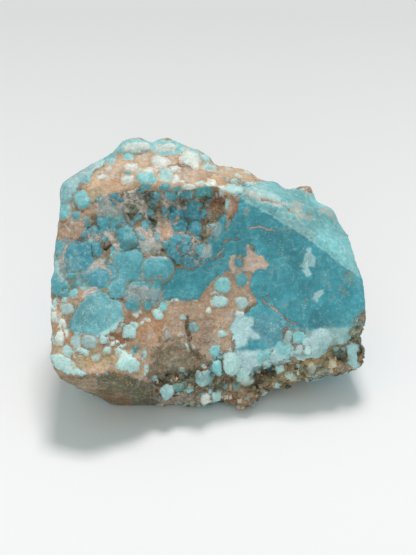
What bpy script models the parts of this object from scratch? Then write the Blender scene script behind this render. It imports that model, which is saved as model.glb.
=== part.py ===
"""A raw nugget of turquoise, standing on the flat break at its base.

Run it with: blender --background --python part.py

The nugget is one solid, as it came out of the rock. A rough block, the hull of
its corners, is hollowed by curved fractures and gets its larger nodules and
crust lumps. Its skin then gets pits, cracks and grain, rough where rind is left
and nearly smooth where the stone broke clean. Last it is cut flat where it
stands, and moved so that the middle of its footprint box is the origin.

Places on the broken face are given on that face, which leans back from upright:
across it to the right, up along it, and deep into the stone. Places on the
hidden side are given from the table: across, back and height. All sizes are in
millimetres until the mesh is scaled to metres at the end.
"""

import math

import bmesh
import bpy
import numpy as np
from mathutils import Matrix, Vector, noise
from mathutils.bvhtree import BVHTree

MM = 0.001

FACE_LEAN = math.radians(40.0)
FACE_HEIGHT = 32.4

HOLLOW_ROUNDS = 5
LUMP_ROUNDS = 3
SKIN_GRID = 0.6
SKIN_SMOOTHING = 2
SKIN_SOFTNESS = 0.5
TRIANGLES = 9000
BASE_CUT = 0.35
BASE_CALM = 2.5
CUT_NEAR = 0.001
# Where the view onto the face starts, and how deep the rim lies behind it.
BEFORE_FACE = -100.0
RIM_BEHIND = 10.0
SEED = Vector((7.3, 2.9, 5.1))

STONE_COLOUR = (0.075, 0.31, 0.35, 1.0)
STONE_ROUGHNESS = 0.55

# Corners of the broken face: across, up, deep.
OUTLINE = {
    "left_shoulder": (-37.4, 23.0, 7.0),
    "cap_left": (-24.0, 30.9, 10.0),
    "cap_top_left": (-20.6, 33.8, 11.5),
    "cap_top": (-14.6, 34.0, 12.5),
    "cap_top_right": (-8.3, 33.4, 12.5),
    "cap_right": (-2.2, 31.8, 12.5),
    "rim_left": (7.0, 25.9, 16.0),
    "rim_middle": (16.4, 22.6, 15.0),
    "rim_right": (25.8, 21.2, 14.0),
    "right_shoulder": (32.6, 15.4, 11.0),
    "right_slope": (36.3, 8.2, 9.0),
    "right_ridge_end": (39.0, -2.0, 5.0),
    "right_side": (40.1, -10.6, 4.0),
    "right_tip": (39.9, -24.1, 9.0),
    "right_foot": (36.0, -26.0, 11.5),
    "base_right": (9.4, -32.8, 9.3),
    "base_middle": (-12.5, -33.7, 9.9),
    "base_left": (-24.0, -33.7, 10.2),
    "left_lip": (-37.2, -26.5, -6.0),
    "left_foot": (-39.4, -20.9, -4.0),
    "left_side": (-39.3, -11.0, -1.5),
    "left_waist": (-38.3, 2.0, 3.0),
    "left_neck": (-38.3, 9.6, 4.0),
}
RIDGES = {
    "cap_lip_left": (-32.2, 18.4, 1.5),
    "cap_lip_middle": (-21.6, 19.6, -0.5),
    "cap_lip_right": (-10.8, 21.0, -1.5),
    "ridge_start": (3.0, 21.0, -2.4),
    "ridge_left": (9.0, 18.8, -3.2),
    "ridge_high": (18.1, 12.4, -2.8),
    "ridge_low": (28.2, 5.6, -0.2),
    "ridge_end": (35.7, 0.5, 1.5),
    "belly_left": (-27.2, -11.8, -7.5),
    "belly_middle": (-16.0, -14.0, -7.5),
    "lip_left": (-32.7, -26.0, -9.0),
    "lip_middle": (-24.7, -24.2, -9.7),
    "lip_right": (-14.6, -26.2, -8.5),
    "band_left": (6.8, -21.9, 5.5),
    "band_middle": (20.6, -20.6, 8.5),
    "band_right": (31.7, -19.0, 8.0),
}
# Corners of the hidden side: across, back, height.
HIDDEN = {
    "base_front_right": (22.0, -3.5, 0.0),
    "base_back_right": (27.0, 14.0, 0.0),
    "base_back": (8.0, 29.0, 0.0),
    "base_back_left": (-20.0, 26.0, 0.0),
    "base_side_left": (-33.0, 6.0, 0.0),
    "back_high": (-12.0, 37.0, 40.0),
    "back_high_left": (-27.0, 31.0, 36.0),
    "back_low": (-6.0, 40.0, 20.0),
    "back_left": (-36.0, 20.0, 22.0),
    "back_right": (24.0, 30.0, 27.0),
    "back_far_right": (34.0, 18.0, 18.0),
    "side_right": (37.0, 6.0, 12.0),
    "side_left": (-38.5, 4.0, 24.0),
}

# Hollow fractures of the face: deepest place, and the half width, half height
# and half depth of the round body that the hollow is the end of.
FACE_HOLLOWS = {
    "right_face": ((17.0, -7.0, 3.8), (95.0, 95.0, 95.0)),
    "cap_cove": ((-9.0, 15.0, 1.8), (18.0, 8.0, 6.0)),
    "cove_ramp": ((-10.0, 8.5, -0.2), (40.0, 26.0, 26.0)),
    "left_cove": ((-25.0, 12.0, 0.8), (11.0, 8.0, 7.0)),
    "valley": ((-6.0, -23.0, 2.0), (10.0, 13.0, 10.0)),
    "valley_wing": ((-12.6, -20.6, -1.5), (8.0, 6.5, 8.0)),
    "crust": ((16.0, -27.0, 6.6), (20.0, 8.0, 12.0)),
}
# Hollow fractures of the hidden side, in the same way: across, back, height.
BACK_HOLLOWS = {
    "back_scar": ((-3.0, 34.6, 31.0), (34.0, 40.0, 24.0)),
    "back_chip": ((14.0, 30.5, 14.0), (20.0, 26.0, 15.0)),
    "back_step": ((-24.0, 28.5, 22.0), (14.0, 20.0, 22.0)),
    "heel": ((-12.0, 33.5, 9.0), (16.0, 22.0, 9.0)),
}
# Hollow fractures of the ends: deepest place, half sizes, across, back, height.
END_HOLLOWS = {
    "left_scar": ((-36.0, 10.0, 13.0), (26.0, 22.0, 16.0)),
    "left_step": ((-33.0, 20.0, 31.0), (16.0, 12.0, 14.0)),
    "right_scar": ((34.6, 9.0, 12.0), (24.0, 16.0, 12.0)),
    "right_step": ((30.0, 20.0, 26.0), (16.0, 14.0, 12.0)),
}

# Nodules and lumps that stand out of the face: place across and up, how far
# the middle is sunk under the skin, half width, half height, half depth, turn.
LUMPS = {
    "cap_bean_left": (-18.3, 31.6, 0.6, 4.6, 2.3, 3.0, 8),
    "cap_bean_middle": (-9.8, 31.3, 0.6, 4.2, 2.3, 3.2, -4),
    "cap_bean_right": (-3.8, 28.9, 0.8, 3.6, 2.6, 3.0, -35),
    "cap_knob_right": (-1.5, 24.6, 0.8, 2.4, 2.0, 2.6, -20),
    "cap_pearl": (-20.1, 24.0, 0.8, 2.1, 1.5, 1.6, 0),
    "cap_blue": (-15.4, 23.8, 0.6, 3.2, 1.9, 2.0, 0),
    "cap_mint": (-10.4, 25.2, 0.6, 2.2, 1.9, 1.8, 0),
    "lip_nodule_left": (-15.6, 21.6, 0.6, 2.2, 1.4, 2.2, 0),
    "lip_nodule_middle": (-10.6, 21.4, 0.6, 2.2, 1.5, 2.4, 0),
    "lip_nodule_right": (-4.6, 21.6, 0.6, 2.0, 1.5, 2.2, 0),
    "lip_tooth": (3.4, 20.0, 0.6, 1.6, 2.6, 2.4, 15),
    "rim_crust_left": (6.6, 23.9, 1.8, 3.6, 1.3, 2.2, -8),
    "rim_crust_right": (10.6, 23.8, 1.2, 3.0, 1.5, 2.2, -20),
    "rim_brown": (23.6, 20.2, 1.2, 2.8, 1.4, 2.0, -6),
    "shoulder_lump": (30.8, 14.4, 1.8, 2.6, 1.8, 2.4, -30),
    "big_blue": (-27.6, -9.6, 2.6, 7.4, 6.0, 3.6, -22),
    "upper_blue": (-33.0, 4.4, 1.6, 3.6, 3.4, 2.3, 0),
    "middle_blue": (-19.4, 1.8, 1.6, 4.0, 3.6, 2.6, 0),
    "middle_blue_right": (-12.6, 1.2, 1.6, 3.6, 3.0, 2.4, 0),
    "cove_blue": (-6.9, 5.9, 1.4, 3.6, 3.6, 2.4, 0),
    "cove_blue_high": (-7.4, 13.2, 1.2, 2.8, 2.4, 2.4, 0),
    "cove_blue_right": (-3.2, 15.6, 1.2, 2.2, 2.4, 2.2, 0),
    "left_foot_mint": (-35.4, -22.8, 1.3, 3.8, 2.8, 2.6, -25),
    "lip_pale": (-20.2, -22.4, 1.0, 3.4, 2.8, 1.8, 20),
    "foot_mint_left": (-10.4, -29.8, 0.8, 1.9, 2.2, 2.4, 0),
    "foot_mint_small": (-6.2, -29.4, 0.8, 1.7, 1.4, 2.0, 0),
    "foot_white": (-0.5, -32.0, 0.9, 1.9, 1.6, 2.2, 0),
    "foot_blue": (-1.2, -26.2, 0.8, 2.2, 2.4, 2.4, 0),
    "band_mint_left": (2.2, -23.4, 1.0, 2.0, 2.0, 1.8, 0),
    "band_mint_high": (5.0, -22.6, 1.0, 2.0, 3.6, 2.0, 0),
    "band_mint_low": (9.4, -26.0, 1.0, 1.9, 2.6, 2.2, 15),
    "foot_teal": (6.9, -29.0, 0.6, 1.4, 1.9, 2.0, 0),
    "foot_orange": (9.6, -31.4, 0.8, 3.9, 2.5, 3.4, 20),
    "crust_low_left": (20.6, -25.8, 0.8, 1.9, 1.3, 2.0, 10),
    "crust_low": (26.6, -24.8, 0.8, 2.2, 1.8, 2.2, 0),
    "crust_right": (31.4, -23.4, 0.8, 2.3, 1.8, 2.2, 0),
    "tip_block": (36.6, -21.6, 1.2, 1.6, 3.6, 2.6, 8),
}
# Pits of the face: place across and up, half width, half height, depth, turn.
PITS = {
    "cove_hole_left": (-16.4, 20.6, 2.8, 1.5, 2.0, -25),
    "cove_hole_middle": (-6.2, 18.4, 1.6, 1.4, 1.8, -30),
    "cove_hole_right": (1.8, 18.8, 2.2, 2.6, 2.6, 0),
    "cove_hole_low": (-5.4, 13.4, 0.8, 3.0, 1.2, 0),
    "scar_left": (-26.8, 15.8, 2.4, 2.2, 1.3, 0),
    "scar_middle": (-19.6, 14.2, 3.6, 2.6, 1.4, 0),
    "scar_low": (-22.6, 5.6, 2.0, 2.0, 1.2, 0),
    "foot_hole": (-10.6, -27.4, 1.9, 0.7, 1.6, 8),
    "foot_gap": (1.6, -27.6, 1.3, 2.2, 1.6, -10),
    "foot_gap_low": (-7.6, -31.4, 1.4, 1.1, 1.2, 0),
    "orange_gap": (5.6, -30.2, 1.2, 0.9, 1.2, 0),
    "crust_hole": (15.4, -24.6, 1.6, 1.2, 2.2, 0),
    "crust_hollow": (13.6, -27.4, 2.6, 2.2, 1.6, 30),
    "crust_notch": (23.4, -25.0, 1.2, 1.5, 1.4, 0),
    "crust_gap": (28.8, -24.4, 0.9, 1.5, 1.4, 0),
    "tip_hole": (33.6, -20.8, 2.0, 1.3, 2.6, -35),
    "tip_hole_right": (38.2, -19.6, 0.9, 1.7, 1.8, 0),
    "green_spot": (-18.2, -19.6, 0.8, 1.0, 0.9, 0),
    "central_hole": (-4.6, -14.8, 0.9, 2.4, 1.0, -10),
}
# Nicks of the outline, right through to the back: place across and up, half
# width, half height, depth.
NICKS = {
    "cap_nick": (-14.2, 34.4, 1.0, 1.4, 1.6),
    "rim_nick_left": (2.2, 28.4, 2.0, 1.8, 2.0),
    "rim_nick_high": (6.4, 28.2, 2.2, 1.8, 1.9),
    "rim_nick_middle": (14.2, 25.2, 2.4, 1.6, 1.6),
    "rim_nick_right": (20.0, 23.2, 2.0, 1.6, 1.8),
    "shoulder_nick": (28.6, 18.8, 1.9, 1.5, 1.6),
    "slope_nick": (37.8, 2.4, 1.2, 2.8, 1.0),
    "tip_nick": (40.4, -15.6, 1.2, 1.4, 0.9),
    "foot_nick_far": (30.6, -26.6, 2.2, 1.4, 1.4),
    "foot_nick_middle": (23.6, -28.4, 3.2, 1.7, 2.2),
    "foot_nick_right": (17.4, -31.2, 2.0, 1.6, 1.3),
    "foot_nick_left": (2.6, -33.6, 1.6, 1.2, 1.2),
}
# Cracks of the face: half width, depth, and the places it runs through.
CRACKS = {
    "cap_crack": (0.5, 1.2, ((-10.2, 28.0), (-7.0, 27.8), (-4.2, 26.8), (-2.0, 25.4))),
    "slope_crack": (0.4, 0.9, ((13.8, 18.5), (16.0, 17.5), (19.4, 17.2), (21.6, 14.8))),
    "tip_crack": (0.5, 0.7, ((35.4, 0.4), (33.9, -2.2), (34.4, -4.6), (33.4, -6.0))),
    "valley_crack": (0.5, 1.1, ((-5.2, -13.4), (-5.0, -17.6), (-3.0, -21.4), (-3.8, -26.0))),
    "cove_crack": (0.5, 1.1, ((-4.8, 11.0), (-4.2, 15.0), (-2.4, 18.4))),
    "ledge_seam": (0.45, 0.8, ((-35.4, -11.6), (-33.6, -16.0), (-29.4, -19.8), (-26.6, -24.4))),
}

# Places that are rind, rough and lumpy: place on the face, and how far it reaches.
RIND = (
    ((24.0, -26.5, 6.5), 8.0),
    ((12.0, -29.0, 6.0), 7.0),
    ((-2.0, -29.0, 2.0), 9.0),
    ((-12.0, -24.0, 1.0), 8.0),
    ((36.0, -20.0, 6.0), 7.0),
    ((7.0, 25.0, 12.0), 7.0),
    ((24.0, 20.5, 13.0), 5.0),
    ((-22.0, 14.0, 1.0), 10.0),
    ((-6.0, 17.0, 2.0), 9.0),
)
RIND_DEPTH = 13.0
RIND_BLEND = 6.0
PLAIN_RIND = 0.35
ZONE_EDGE = 1.6
# Places that broke clean: place on the face, and how far it reaches.
CLEAN = (
    ((20.0, -4.0, 1.0), 24.0),
    ((33.0, -4.0, 0.0), 14.0),
    ((6.0, 4.0, -1.0), 13.0),
    ((18.0, 18.0, 5.0), 11.0),
    ((30.0, 9.0, 3.0), 11.0),
    ((-33.0, 24.0, 6.0), 9.0),
    ((-28.0, -29.0, -1.0), 9.0),
)
BEND = 1.6
BEND_SPACING = 7.0
BEND_OFFSET = 31.7
BEND_AXES = (Vector((0.0, 0.0, 0.0)), Vector((1.0, 0.0, 0.0)), Vector((0.0, 1.0, 0.0)))
BEND_RIND = 2.0
ROUGH_HEIGHT = 0.45
SMOOTH_HEIGHT = 0.05
LUMP_SPACING = 6.0
LUMP_HEIGHT = 1.2
LUMP_MIDDLE = 0.5
GRAIN_SPACING = 1.9
GRAIN_FADE = 0.9
GRAIN_STEP = 2.1
GRAIN_LAYERS = 3
WAVE_SPACING = 15.0
WAVE_HEIGHT = 0.45
# How steeply the sides of pits, nicks and cracks fall.
PIT_EDGE = 0.9
PIT_REACH = 1.5
NICK_EDGE = 0.5
CRACK_EDGE = 0.7


def face_axes():
    """Return the face frame's across, up and deep directions, as rows."""
    lean, rise = math.sin(FACE_LEAN), math.cos(FACE_LEAN)
    return np.array(((1.0, 0.0, 0.0), (0.0, lean, rise), (0.0, rise, -lean)))


def on_table(places):
    """Turn places on the face into places over the table."""
    return np.asarray(places, float) @ face_axes() + np.array((0.0, 0.0, FACE_HEIGHT))


def on_face(places):
    """Turn places over the table into places on the face."""
    return (np.asarray(places, float) - np.array((0.0, 0.0, FACE_HEIGHT))) @ face_axes().T


def make_object(name, mesh):
    """Put a bmesh into the scene as an object, and free the bmesh."""
    data = bpy.data.meshes.new(name)
    mesh.to_mesh(data)
    mesh.free()
    obj = bpy.data.objects.new(name, data)
    bpy.context.scene.collection.objects.link(obj)
    return obj


def evaluated_mesh(obj):
    """Return an object's mesh with its modifiers applied, as a bmesh."""
    mesh = bmesh.new()
    mesh.from_object(obj, bpy.context.evaluated_depsgraph_get())
    return mesh


def block():
    """Return the rough block, the hull of all corners."""
    corners = list(on_table(list(OUTLINE.values()) + list(RIDGES.values())))
    corners += list(HIDDEN.values())
    mesh = bmesh.new()
    for corner in corners:
        mesh.verts.new(corner)
    made = bmesh.ops.convex_hull(mesh, input=mesh.verts)
    inside = [v for v in made["geom_interior"] if isinstance(v, bmesh.types.BMVert)]
    bmesh.ops.delete(mesh, geom=inside, context="VERTS")
    return make_object("block", mesh)


def hollow(stone, shape):
    """Break a hollow out of the stone, the end of a large round body."""
    mesh = bmesh.new()
    bmesh.ops.create_icosphere(mesh, subdivisions=HOLLOW_ROUNDS, radius=1.0, matrix=shape)
    bmesh.ops.recalc_face_normals(mesh, faces=mesh.faces)
    body = make_object("body", mesh)
    cut = stone.modifiers.new("fracture", "BOOLEAN")
    cut.object = body
    cut.operation = "DIFFERENCE"
    broken = evaluated_mesh(stone)
    stone.modifiers.clear()
    broken.to_mesh(stone.data)
    broken.free()
    bpy.data.objects.remove(body)


def break_hollows(stone):
    """Break every hollow fracture out of the stone."""
    axes = Matrix(face_axes()).transposed()
    for deepest, size in FACE_HOLLOWS.values():
        middle = Vector(on_table(np.subtract(deepest, (0.0, 0.0, size[2]))))
        hollow(stone, Matrix.Translation(middle) @ (axes @ Matrix.Diagonal(size)).to_4x4())
    for table, side in ((BACK_HOLLOWS, 1), (END_HOLLOWS, 0)):
        for deepest, size in table.values():
            middle = Vector(deepest)
            middle[side] += math.copysign(size[side], middle[side])
            hollow(stone, Matrix.Translation(middle) @ Matrix.Diagonal(size).to_4x4())


def skin_place(tree, across, up):
    """Return the place of the skin that is seen at a place on the face."""
    deep = Vector(face_axes()[2])
    hit = tree.ray_cast(Vector(on_table((across, up, BEFORE_FACE))), deep)[0]
    if hit is None:
        start = Vector(on_table((across, up, RIM_BEHIND)))
        hit = tree.find_nearest(start)[0]
    return hit


def turned(across, up, turn):
    """Turn sizes on the face by an angle in degrees."""
    angle = math.radians(turn)
    return (
        across * math.cos(angle) + up * math.sin(angle),
        up * math.cos(angle) - across * math.sin(angle),
    )


def add_lumps(stone):
    """Grow the nodules and crust lumps out of the stone's face."""
    tree = BVHTree.FromObject(stone, bpy.context.evaluated_depsgraph_get())
    mesh = bmesh.new()
    mesh.from_mesh(stone.data)
    axes = Matrix(face_axes()).transposed()
    deep = Vector(face_axes()[2])
    for across, up, sunk, width, height, depth, turn in LUMPS.values():
        spin = Matrix.Rotation(math.radians(turn), 3, "Z")
        size = Matrix.Diagonal((width, height, depth))
        place = skin_place(tree, across, up) + deep * sunk
        shape = Matrix.Translation(place) @ (axes @ spin @ size).to_4x4()
        made = bmesh.ops.create_icosphere(
            mesh, subdivisions=LUMP_ROUNDS, radius=1.0, matrix=shape
        )
        faces = {face for vert in made["verts"] for face in vert.link_faces}
        if shape.determinant() < 0.0:
            bmesh.ops.reverse_faces(mesh, faces=list(faces))
    mesh.to_mesh(stone.data)
    mesh.free()


def make_skin(stone):
    """Join everything in one even skin, and soften it slightly."""
    fuse = stone.modifiers.new("skin", "REMESH")
    fuse.mode = "VOXEL"
    fuse.voxel_size = SKIN_GRID
    skin = evaluated_mesh(stone)
    stone.modifiers.clear()
    for _ in range(SKIN_SMOOTHING):
        bmesh.ops.smooth_vert(
            skin,
            verts=skin.verts,
            factor=SKIN_SOFTNESS,
            use_axis_x=True,
            use_axis_y=True,
            use_axis_z=True,
        )
    skin.to_mesh(stone.data)
    skin.free()


def nearness(places, zones):
    """Return how far each place belongs to any of the zones, from 0 to 1."""
    share = np.zeros(len(places))
    for middle, reach in zones:
        away = np.linalg.norm(places - np.array(middle), axis=1)
        share = np.maximum(share, np.clip(ZONE_EDGE * (1.0 - away / reach), 0.0, 1.0))
    return share


def rind_share(places):
    """Return how far each place is rind, from 0 for clean stone to 1."""
    share = PLAIN_RIND * (1.0 - nearness(places, CLEAN))
    hidden = np.clip((places[:, 2] - RIND_DEPTH) / RIND_BLEND, 0.0, 1.0)
    return np.maximum(np.maximum(share, hidden), nearness(places, RIND))


def bend(places, rind):
    """Bend the skin out of its round hollows, more where it is rind."""
    drift = np.empty_like(places)
    for index, place in enumerate(places):
        spot = Vector(place) / BEND_SPACING
        drift[index] = [noise.noise(spot + axis * BEND_OFFSET) for axis in BEND_AXES]
    return places + drift * (BEND * np.clip(rind * BEND_RIND, 0.0, 1.0))[:, None]


def grain_heights(places, rind):
    """Return the height of the skin's waves, lumps and grain at each place."""
    heights = np.empty(len(places))
    for index, place in enumerate(places):
        spot = Vector(place)
        wave = noise.noise(spot / WAVE_SPACING + SEED)
        fine = spot / GRAIN_SPACING - SEED
        grain = noise.fractal(fine, GRAIN_FADE, GRAIN_STEP, GRAIN_LAYERS)
        near = noise.voronoi(spot / LUMP_SPACING + SEED)[0]
        lump = LUMP_MIDDLE - min(near[0], 1.0) ** 2
        rough = LUMP_HEIGHT * lump + ROUGH_HEIGHT * grain
        clean = SMOOTH_HEIGHT * grain
        heights[index] = WAVE_HEIGHT * wave + rough * rind[index] + clean * (1.0 - rind[index])
    return heights


def pit_depths(places, tree):
    """Return how deep the pits of the face are at each place."""
    depths = np.zeros(len(places))
    for across, up, width, height, depth, turn in PITS.values():
        middle = on_face(skin_place(tree, across, up))
        side, rise = turned(places[:, 0] - across, places[:, 1] - up, turn)
        into = (places[:, 2] - middle[2]) / (max(width, height) * PIT_REACH)
        away = (side / width) ** 2 + (rise / height) ** 2 + into**2
        depths += depth * np.exp(-PIT_EDGE * away)
    return depths


def nick_depths(places):
    """Return how deep the nicks of the outline are at each place."""
    depths = np.zeros(len(places))
    for across, up, width, height, depth in NICKS.values():
        away = ((places[:, 0] - across) / width) ** 2 + ((places[:, 1] - up) / height) ** 2
        depths += depth * np.exp(-NICK_EDGE * away)
    return depths


def crack_depths(places, tree):
    """Return how deep the cracks of the face are at each place."""
    depths = np.zeros(len(places))
    for width, depth, route in CRACKS.values():
        stops = [on_face(skin_place(tree, across, up)) for across, up in route]
        nearest = np.full(len(places), np.inf)
        for start, end in zip(stops, stops[1:]):
            run = end - start
            along = np.clip((places - start) @ run / (run @ run), 0.0, 1.0)
            gap = np.linalg.norm(places - start - along[:, None] * run, axis=1)
            nearest = np.minimum(nearest, gap)
        depths += depth * np.exp(-CRACK_EDGE * (nearest / width) ** 2)
    return depths


def roughen(stone):
    """Give the skin its waves, grain, pits and cracks."""
    tree = BVHTree.FromObject(stone, bpy.context.evaluated_depsgraph_get())
    verts = stone.data.vertices
    places = on_face([vert.co for vert in verts])
    normals = np.array([vert.normal for vert in verts])
    rind = rind_share(places)
    heights = grain_heights(places, rind)
    heights -= pit_depths(places, tree) + nick_depths(places) + crack_depths(places, tree)
    table = on_table(places)
    calm = np.clip((table[:, 2] - BASE_CUT) / BASE_CALM, 0.0, 1.0)[:, None]
    table += (on_table(bend(places, rind)) - table + normals * heights[:, None]) * calm
    for vert, place in zip(verts, table):
        vert.co = place


def thin_out(stone):
    """Bring the skin down to its last number of triangles."""
    count = sum(len(face.vertices) - 2 for face in stone.data.polygons)
    thin = stone.modifiers.new("thin", "DECIMATE")
    thin.ratio = TRIANGLES / count
    thin.use_collapse_triangulate = True
    mesh = evaluated_mesh(stone)
    stone.modifiers.clear()
    return mesh


def cut_base(mesh):
    """Cut the stone flat where it stands, and close the cut."""
    everything = list(mesh.verts) + list(mesh.edges) + list(mesh.faces)
    cut = bmesh.ops.bisect_plane(
        mesh,
        geom=everything,
        dist=CUT_NEAR,
        plane_co=(0.0, 0.0, BASE_CUT),
        plane_no=(0.0, 0.0, 1.0),
        clear_inner=True,
    )
    rim = [part for part in cut["geom_cut"] if isinstance(part, bmesh.types.BMEdge)]
    bmesh.ops.holes_fill(mesh, edges=rim, sides=0)
    bmesh.ops.triangulate(mesh, faces=[face for face in mesh.faces if len(face.verts) > 3])
    bmesh.ops.recalc_face_normals(mesh, faces=mesh.faces)


def stand(mesh):
    """Put the middle of the stone's footprint box on the origin, in metres."""
    places = np.array([vert.co for vert in mesh.verts])
    low, high = places.min(axis=0), places.max(axis=0)
    middle = Vector(((low[0] + high[0]) / 2.0, (low[1] + high[1]) / 2.0, low[2]))
    bmesh.ops.translate(mesh, verts=mesh.verts, vec=-middle)
    bmesh.ops.scale(mesh, verts=mesh.verts, vec=(MM, MM, MM))
    return middle


def stone_material():
    """Return the stone's own material."""
    material = bpy.data.materials.new("turquoise")
    material.use_nodes = True
    shader = material.node_tree.nodes["Principled BSDF"]
    shader.inputs["Base Color"].default_value = STONE_COLOUR
    shader.inputs["Roughness"].default_value = STONE_ROUGHNESS
    shader.inputs["Metallic"].default_value = 0.0
    return material


def main():
    """Build the nugget in an empty scene."""
    for old in list(bpy.data.objects):
        bpy.data.objects.remove(old)
    stone = block()
    break_hollows(stone)
    add_lumps(stone)
    make_skin(stone)
    roughen(stone)
    mesh = thin_out(stone)
    bpy.data.objects.remove(stone)
    cut_base(mesh)
    stand(mesh)
    nugget = make_object("nugget", mesh)
    nugget.data.materials.append(stone_material())


if __name__ == "__main__":
    main()
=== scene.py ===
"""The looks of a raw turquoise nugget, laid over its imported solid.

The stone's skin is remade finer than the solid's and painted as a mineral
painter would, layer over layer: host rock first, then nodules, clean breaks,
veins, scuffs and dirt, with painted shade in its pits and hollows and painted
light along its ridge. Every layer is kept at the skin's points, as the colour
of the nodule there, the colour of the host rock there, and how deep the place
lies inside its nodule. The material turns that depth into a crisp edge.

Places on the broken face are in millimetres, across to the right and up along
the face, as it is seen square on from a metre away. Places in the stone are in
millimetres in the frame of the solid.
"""

import logging
import math
from dataclasses import dataclass
from enum import Enum

import bmesh
import bpy
import numpy as np
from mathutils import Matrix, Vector


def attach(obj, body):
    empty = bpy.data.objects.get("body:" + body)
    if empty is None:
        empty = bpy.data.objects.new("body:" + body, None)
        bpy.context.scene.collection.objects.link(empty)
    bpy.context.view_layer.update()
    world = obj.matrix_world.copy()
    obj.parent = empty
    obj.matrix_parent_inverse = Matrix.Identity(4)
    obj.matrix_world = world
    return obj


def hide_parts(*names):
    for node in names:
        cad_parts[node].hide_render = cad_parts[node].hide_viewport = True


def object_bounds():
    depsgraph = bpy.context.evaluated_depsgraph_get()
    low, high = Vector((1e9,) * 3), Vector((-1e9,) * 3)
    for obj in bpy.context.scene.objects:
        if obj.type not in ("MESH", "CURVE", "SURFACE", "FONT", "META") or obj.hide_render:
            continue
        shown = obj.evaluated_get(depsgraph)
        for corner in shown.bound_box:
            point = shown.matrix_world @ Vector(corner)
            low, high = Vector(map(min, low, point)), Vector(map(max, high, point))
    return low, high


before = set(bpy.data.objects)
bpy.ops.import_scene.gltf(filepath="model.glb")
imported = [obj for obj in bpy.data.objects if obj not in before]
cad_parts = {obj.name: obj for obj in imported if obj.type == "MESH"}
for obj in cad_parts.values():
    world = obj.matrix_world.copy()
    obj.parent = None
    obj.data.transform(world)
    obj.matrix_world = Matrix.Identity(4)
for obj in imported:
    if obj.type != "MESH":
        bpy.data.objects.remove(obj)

CAD_LOW, CAD_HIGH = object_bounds()
LOG = logging.getLogger("nugget")

# A millimetre in metres, the height of the picture in its points, and a depth
# that nothing in the stone reaches.
MM = 0.001
IMAGE_HEIGHT = 555
FAR = 99.0
# How the scattered numbers are stirred.
PRIMES = (73856093, 19349663, 83492791)
SEED_STEP = 40503
STIRS = ((15, 0x2C1B3C6D), (12, 0x297A2D39), (15, 0x1B56C4E9))
LAST_STIR = 16
WORD = 0xFFFFFFFF


@dataclass(frozen=True)
class Finish:
    """How one kind of stone or host rock looks.

    colour: red, green and blue as a painter mixes them, from 0 to 255.
    chalk: how much pale mottling lies in it, from 0 to 1.
    grit: how rough and grainy it is, from 0 to 1.
    """

    colour: tuple[int, int, int]
    chalk: float = 0.3
    grit: float = 0.5

    def light(self) -> np.ndarray:
        """Return the colour in linear light."""
        shares = np.array(self.colour) / 255.0
        return np.where(shares <= 0.04045, shares / 12.92, ((shares + 0.055) / 1.055) ** 2.4)


class Kind(Enum):
    """The kinds of nodule, host rock and stain in the stone, and of its painted shade and light."""

    BLUE = Finish((74, 148, 162), 0.3, 0.1)
    TEAL = Finish((92, 166, 176), 0.35, 0.1)
    GREEN = Finish((84, 158, 158), 0.5, 0.4)
    CLEAN = Finish((68, 153, 166), 0.12, 0.05)
    DUSK = Finish((86, 146, 158), 0.7, 0.1)
    STEEL = Finish((112, 176, 184), 0.7, 0.05)
    SKY = Finish((142, 206, 208), 0.35, 0.1)
    # the clean face's turquoise, painted lighter where it faces up: painted light
    SLOPE = Finish((116, 184, 188), 0.45, 0.1)
    SHELF = Finish((186, 218, 220), 0.6, 0.15)
    FROST = Finish((154, 194, 194), 0.8, 0.2)
    MINT = Finish((188, 224, 220), 0.3, 0.1)
    MILK = Finish((226, 234, 226), 0.12, 0.15)
    GREY = Finish((176, 202, 200), 0.6, 0.3)
    SCUFF = Finish((166, 206, 210), 0.7, 0.2)
    # a deep blue painted darker for nodules sunk in pits: painted shade
    INK = Finish((28, 108, 122), 0.0, 0.1)
    CLAY = Finish((214, 206, 184), 0.4, 0.5)
    TAN = Finish((212, 178, 152), 0.3, 0.5)
    PINK = Finish((218, 188, 174), 0.5, 0.4)
    SAND = Finish((222, 190, 156), 0.2, 0.4)
    ORANGE = Finish((204, 152, 112), 0.2, 0.5)
    GOLD = Finish((204, 178, 126), 0.1, 0.7)
    RUST = Finish((176, 118, 84), 0.1, 0.6)
    BROWN = Finish((150, 118, 98), 0.1, 0.8)
    DRAB = Finish((134, 146, 124), 0.2, 0.6)
    OLIVE = Finish((142, 138, 108), 0.2, 0.7)
    MOSS = Finish((106, 108, 84), 0.1, 0.8)
    UMBER = Finish((92, 76, 62), 0.0, 0.9)
    # painted shade in pits, cracks and recesses, with the dirt in them
    PITCH = Finish((44, 54, 50), 0.0, 0.9)
    CHALK = Finish((226, 214, 204), 0.4, 0.4)

    def light(self) -> np.ndarray:
        """Return the kind's colour in linear light."""
        return self.value.light()


# The kinds by their own names, for the tables below.
(
    BLUE, TEAL, GREEN, CLEAN, DUSK, STEEL, SKY, SLOPE, SHELF, FROST, MINT, MILK, GREY, SCUFF, INK,
    CLAY, TAN, PINK, SAND, ORANGE, GOLD, RUST, BROWN, DRAB, OLIVE, MOSS, UMBER, PITCH, CHALK,
) = Kind


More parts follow.
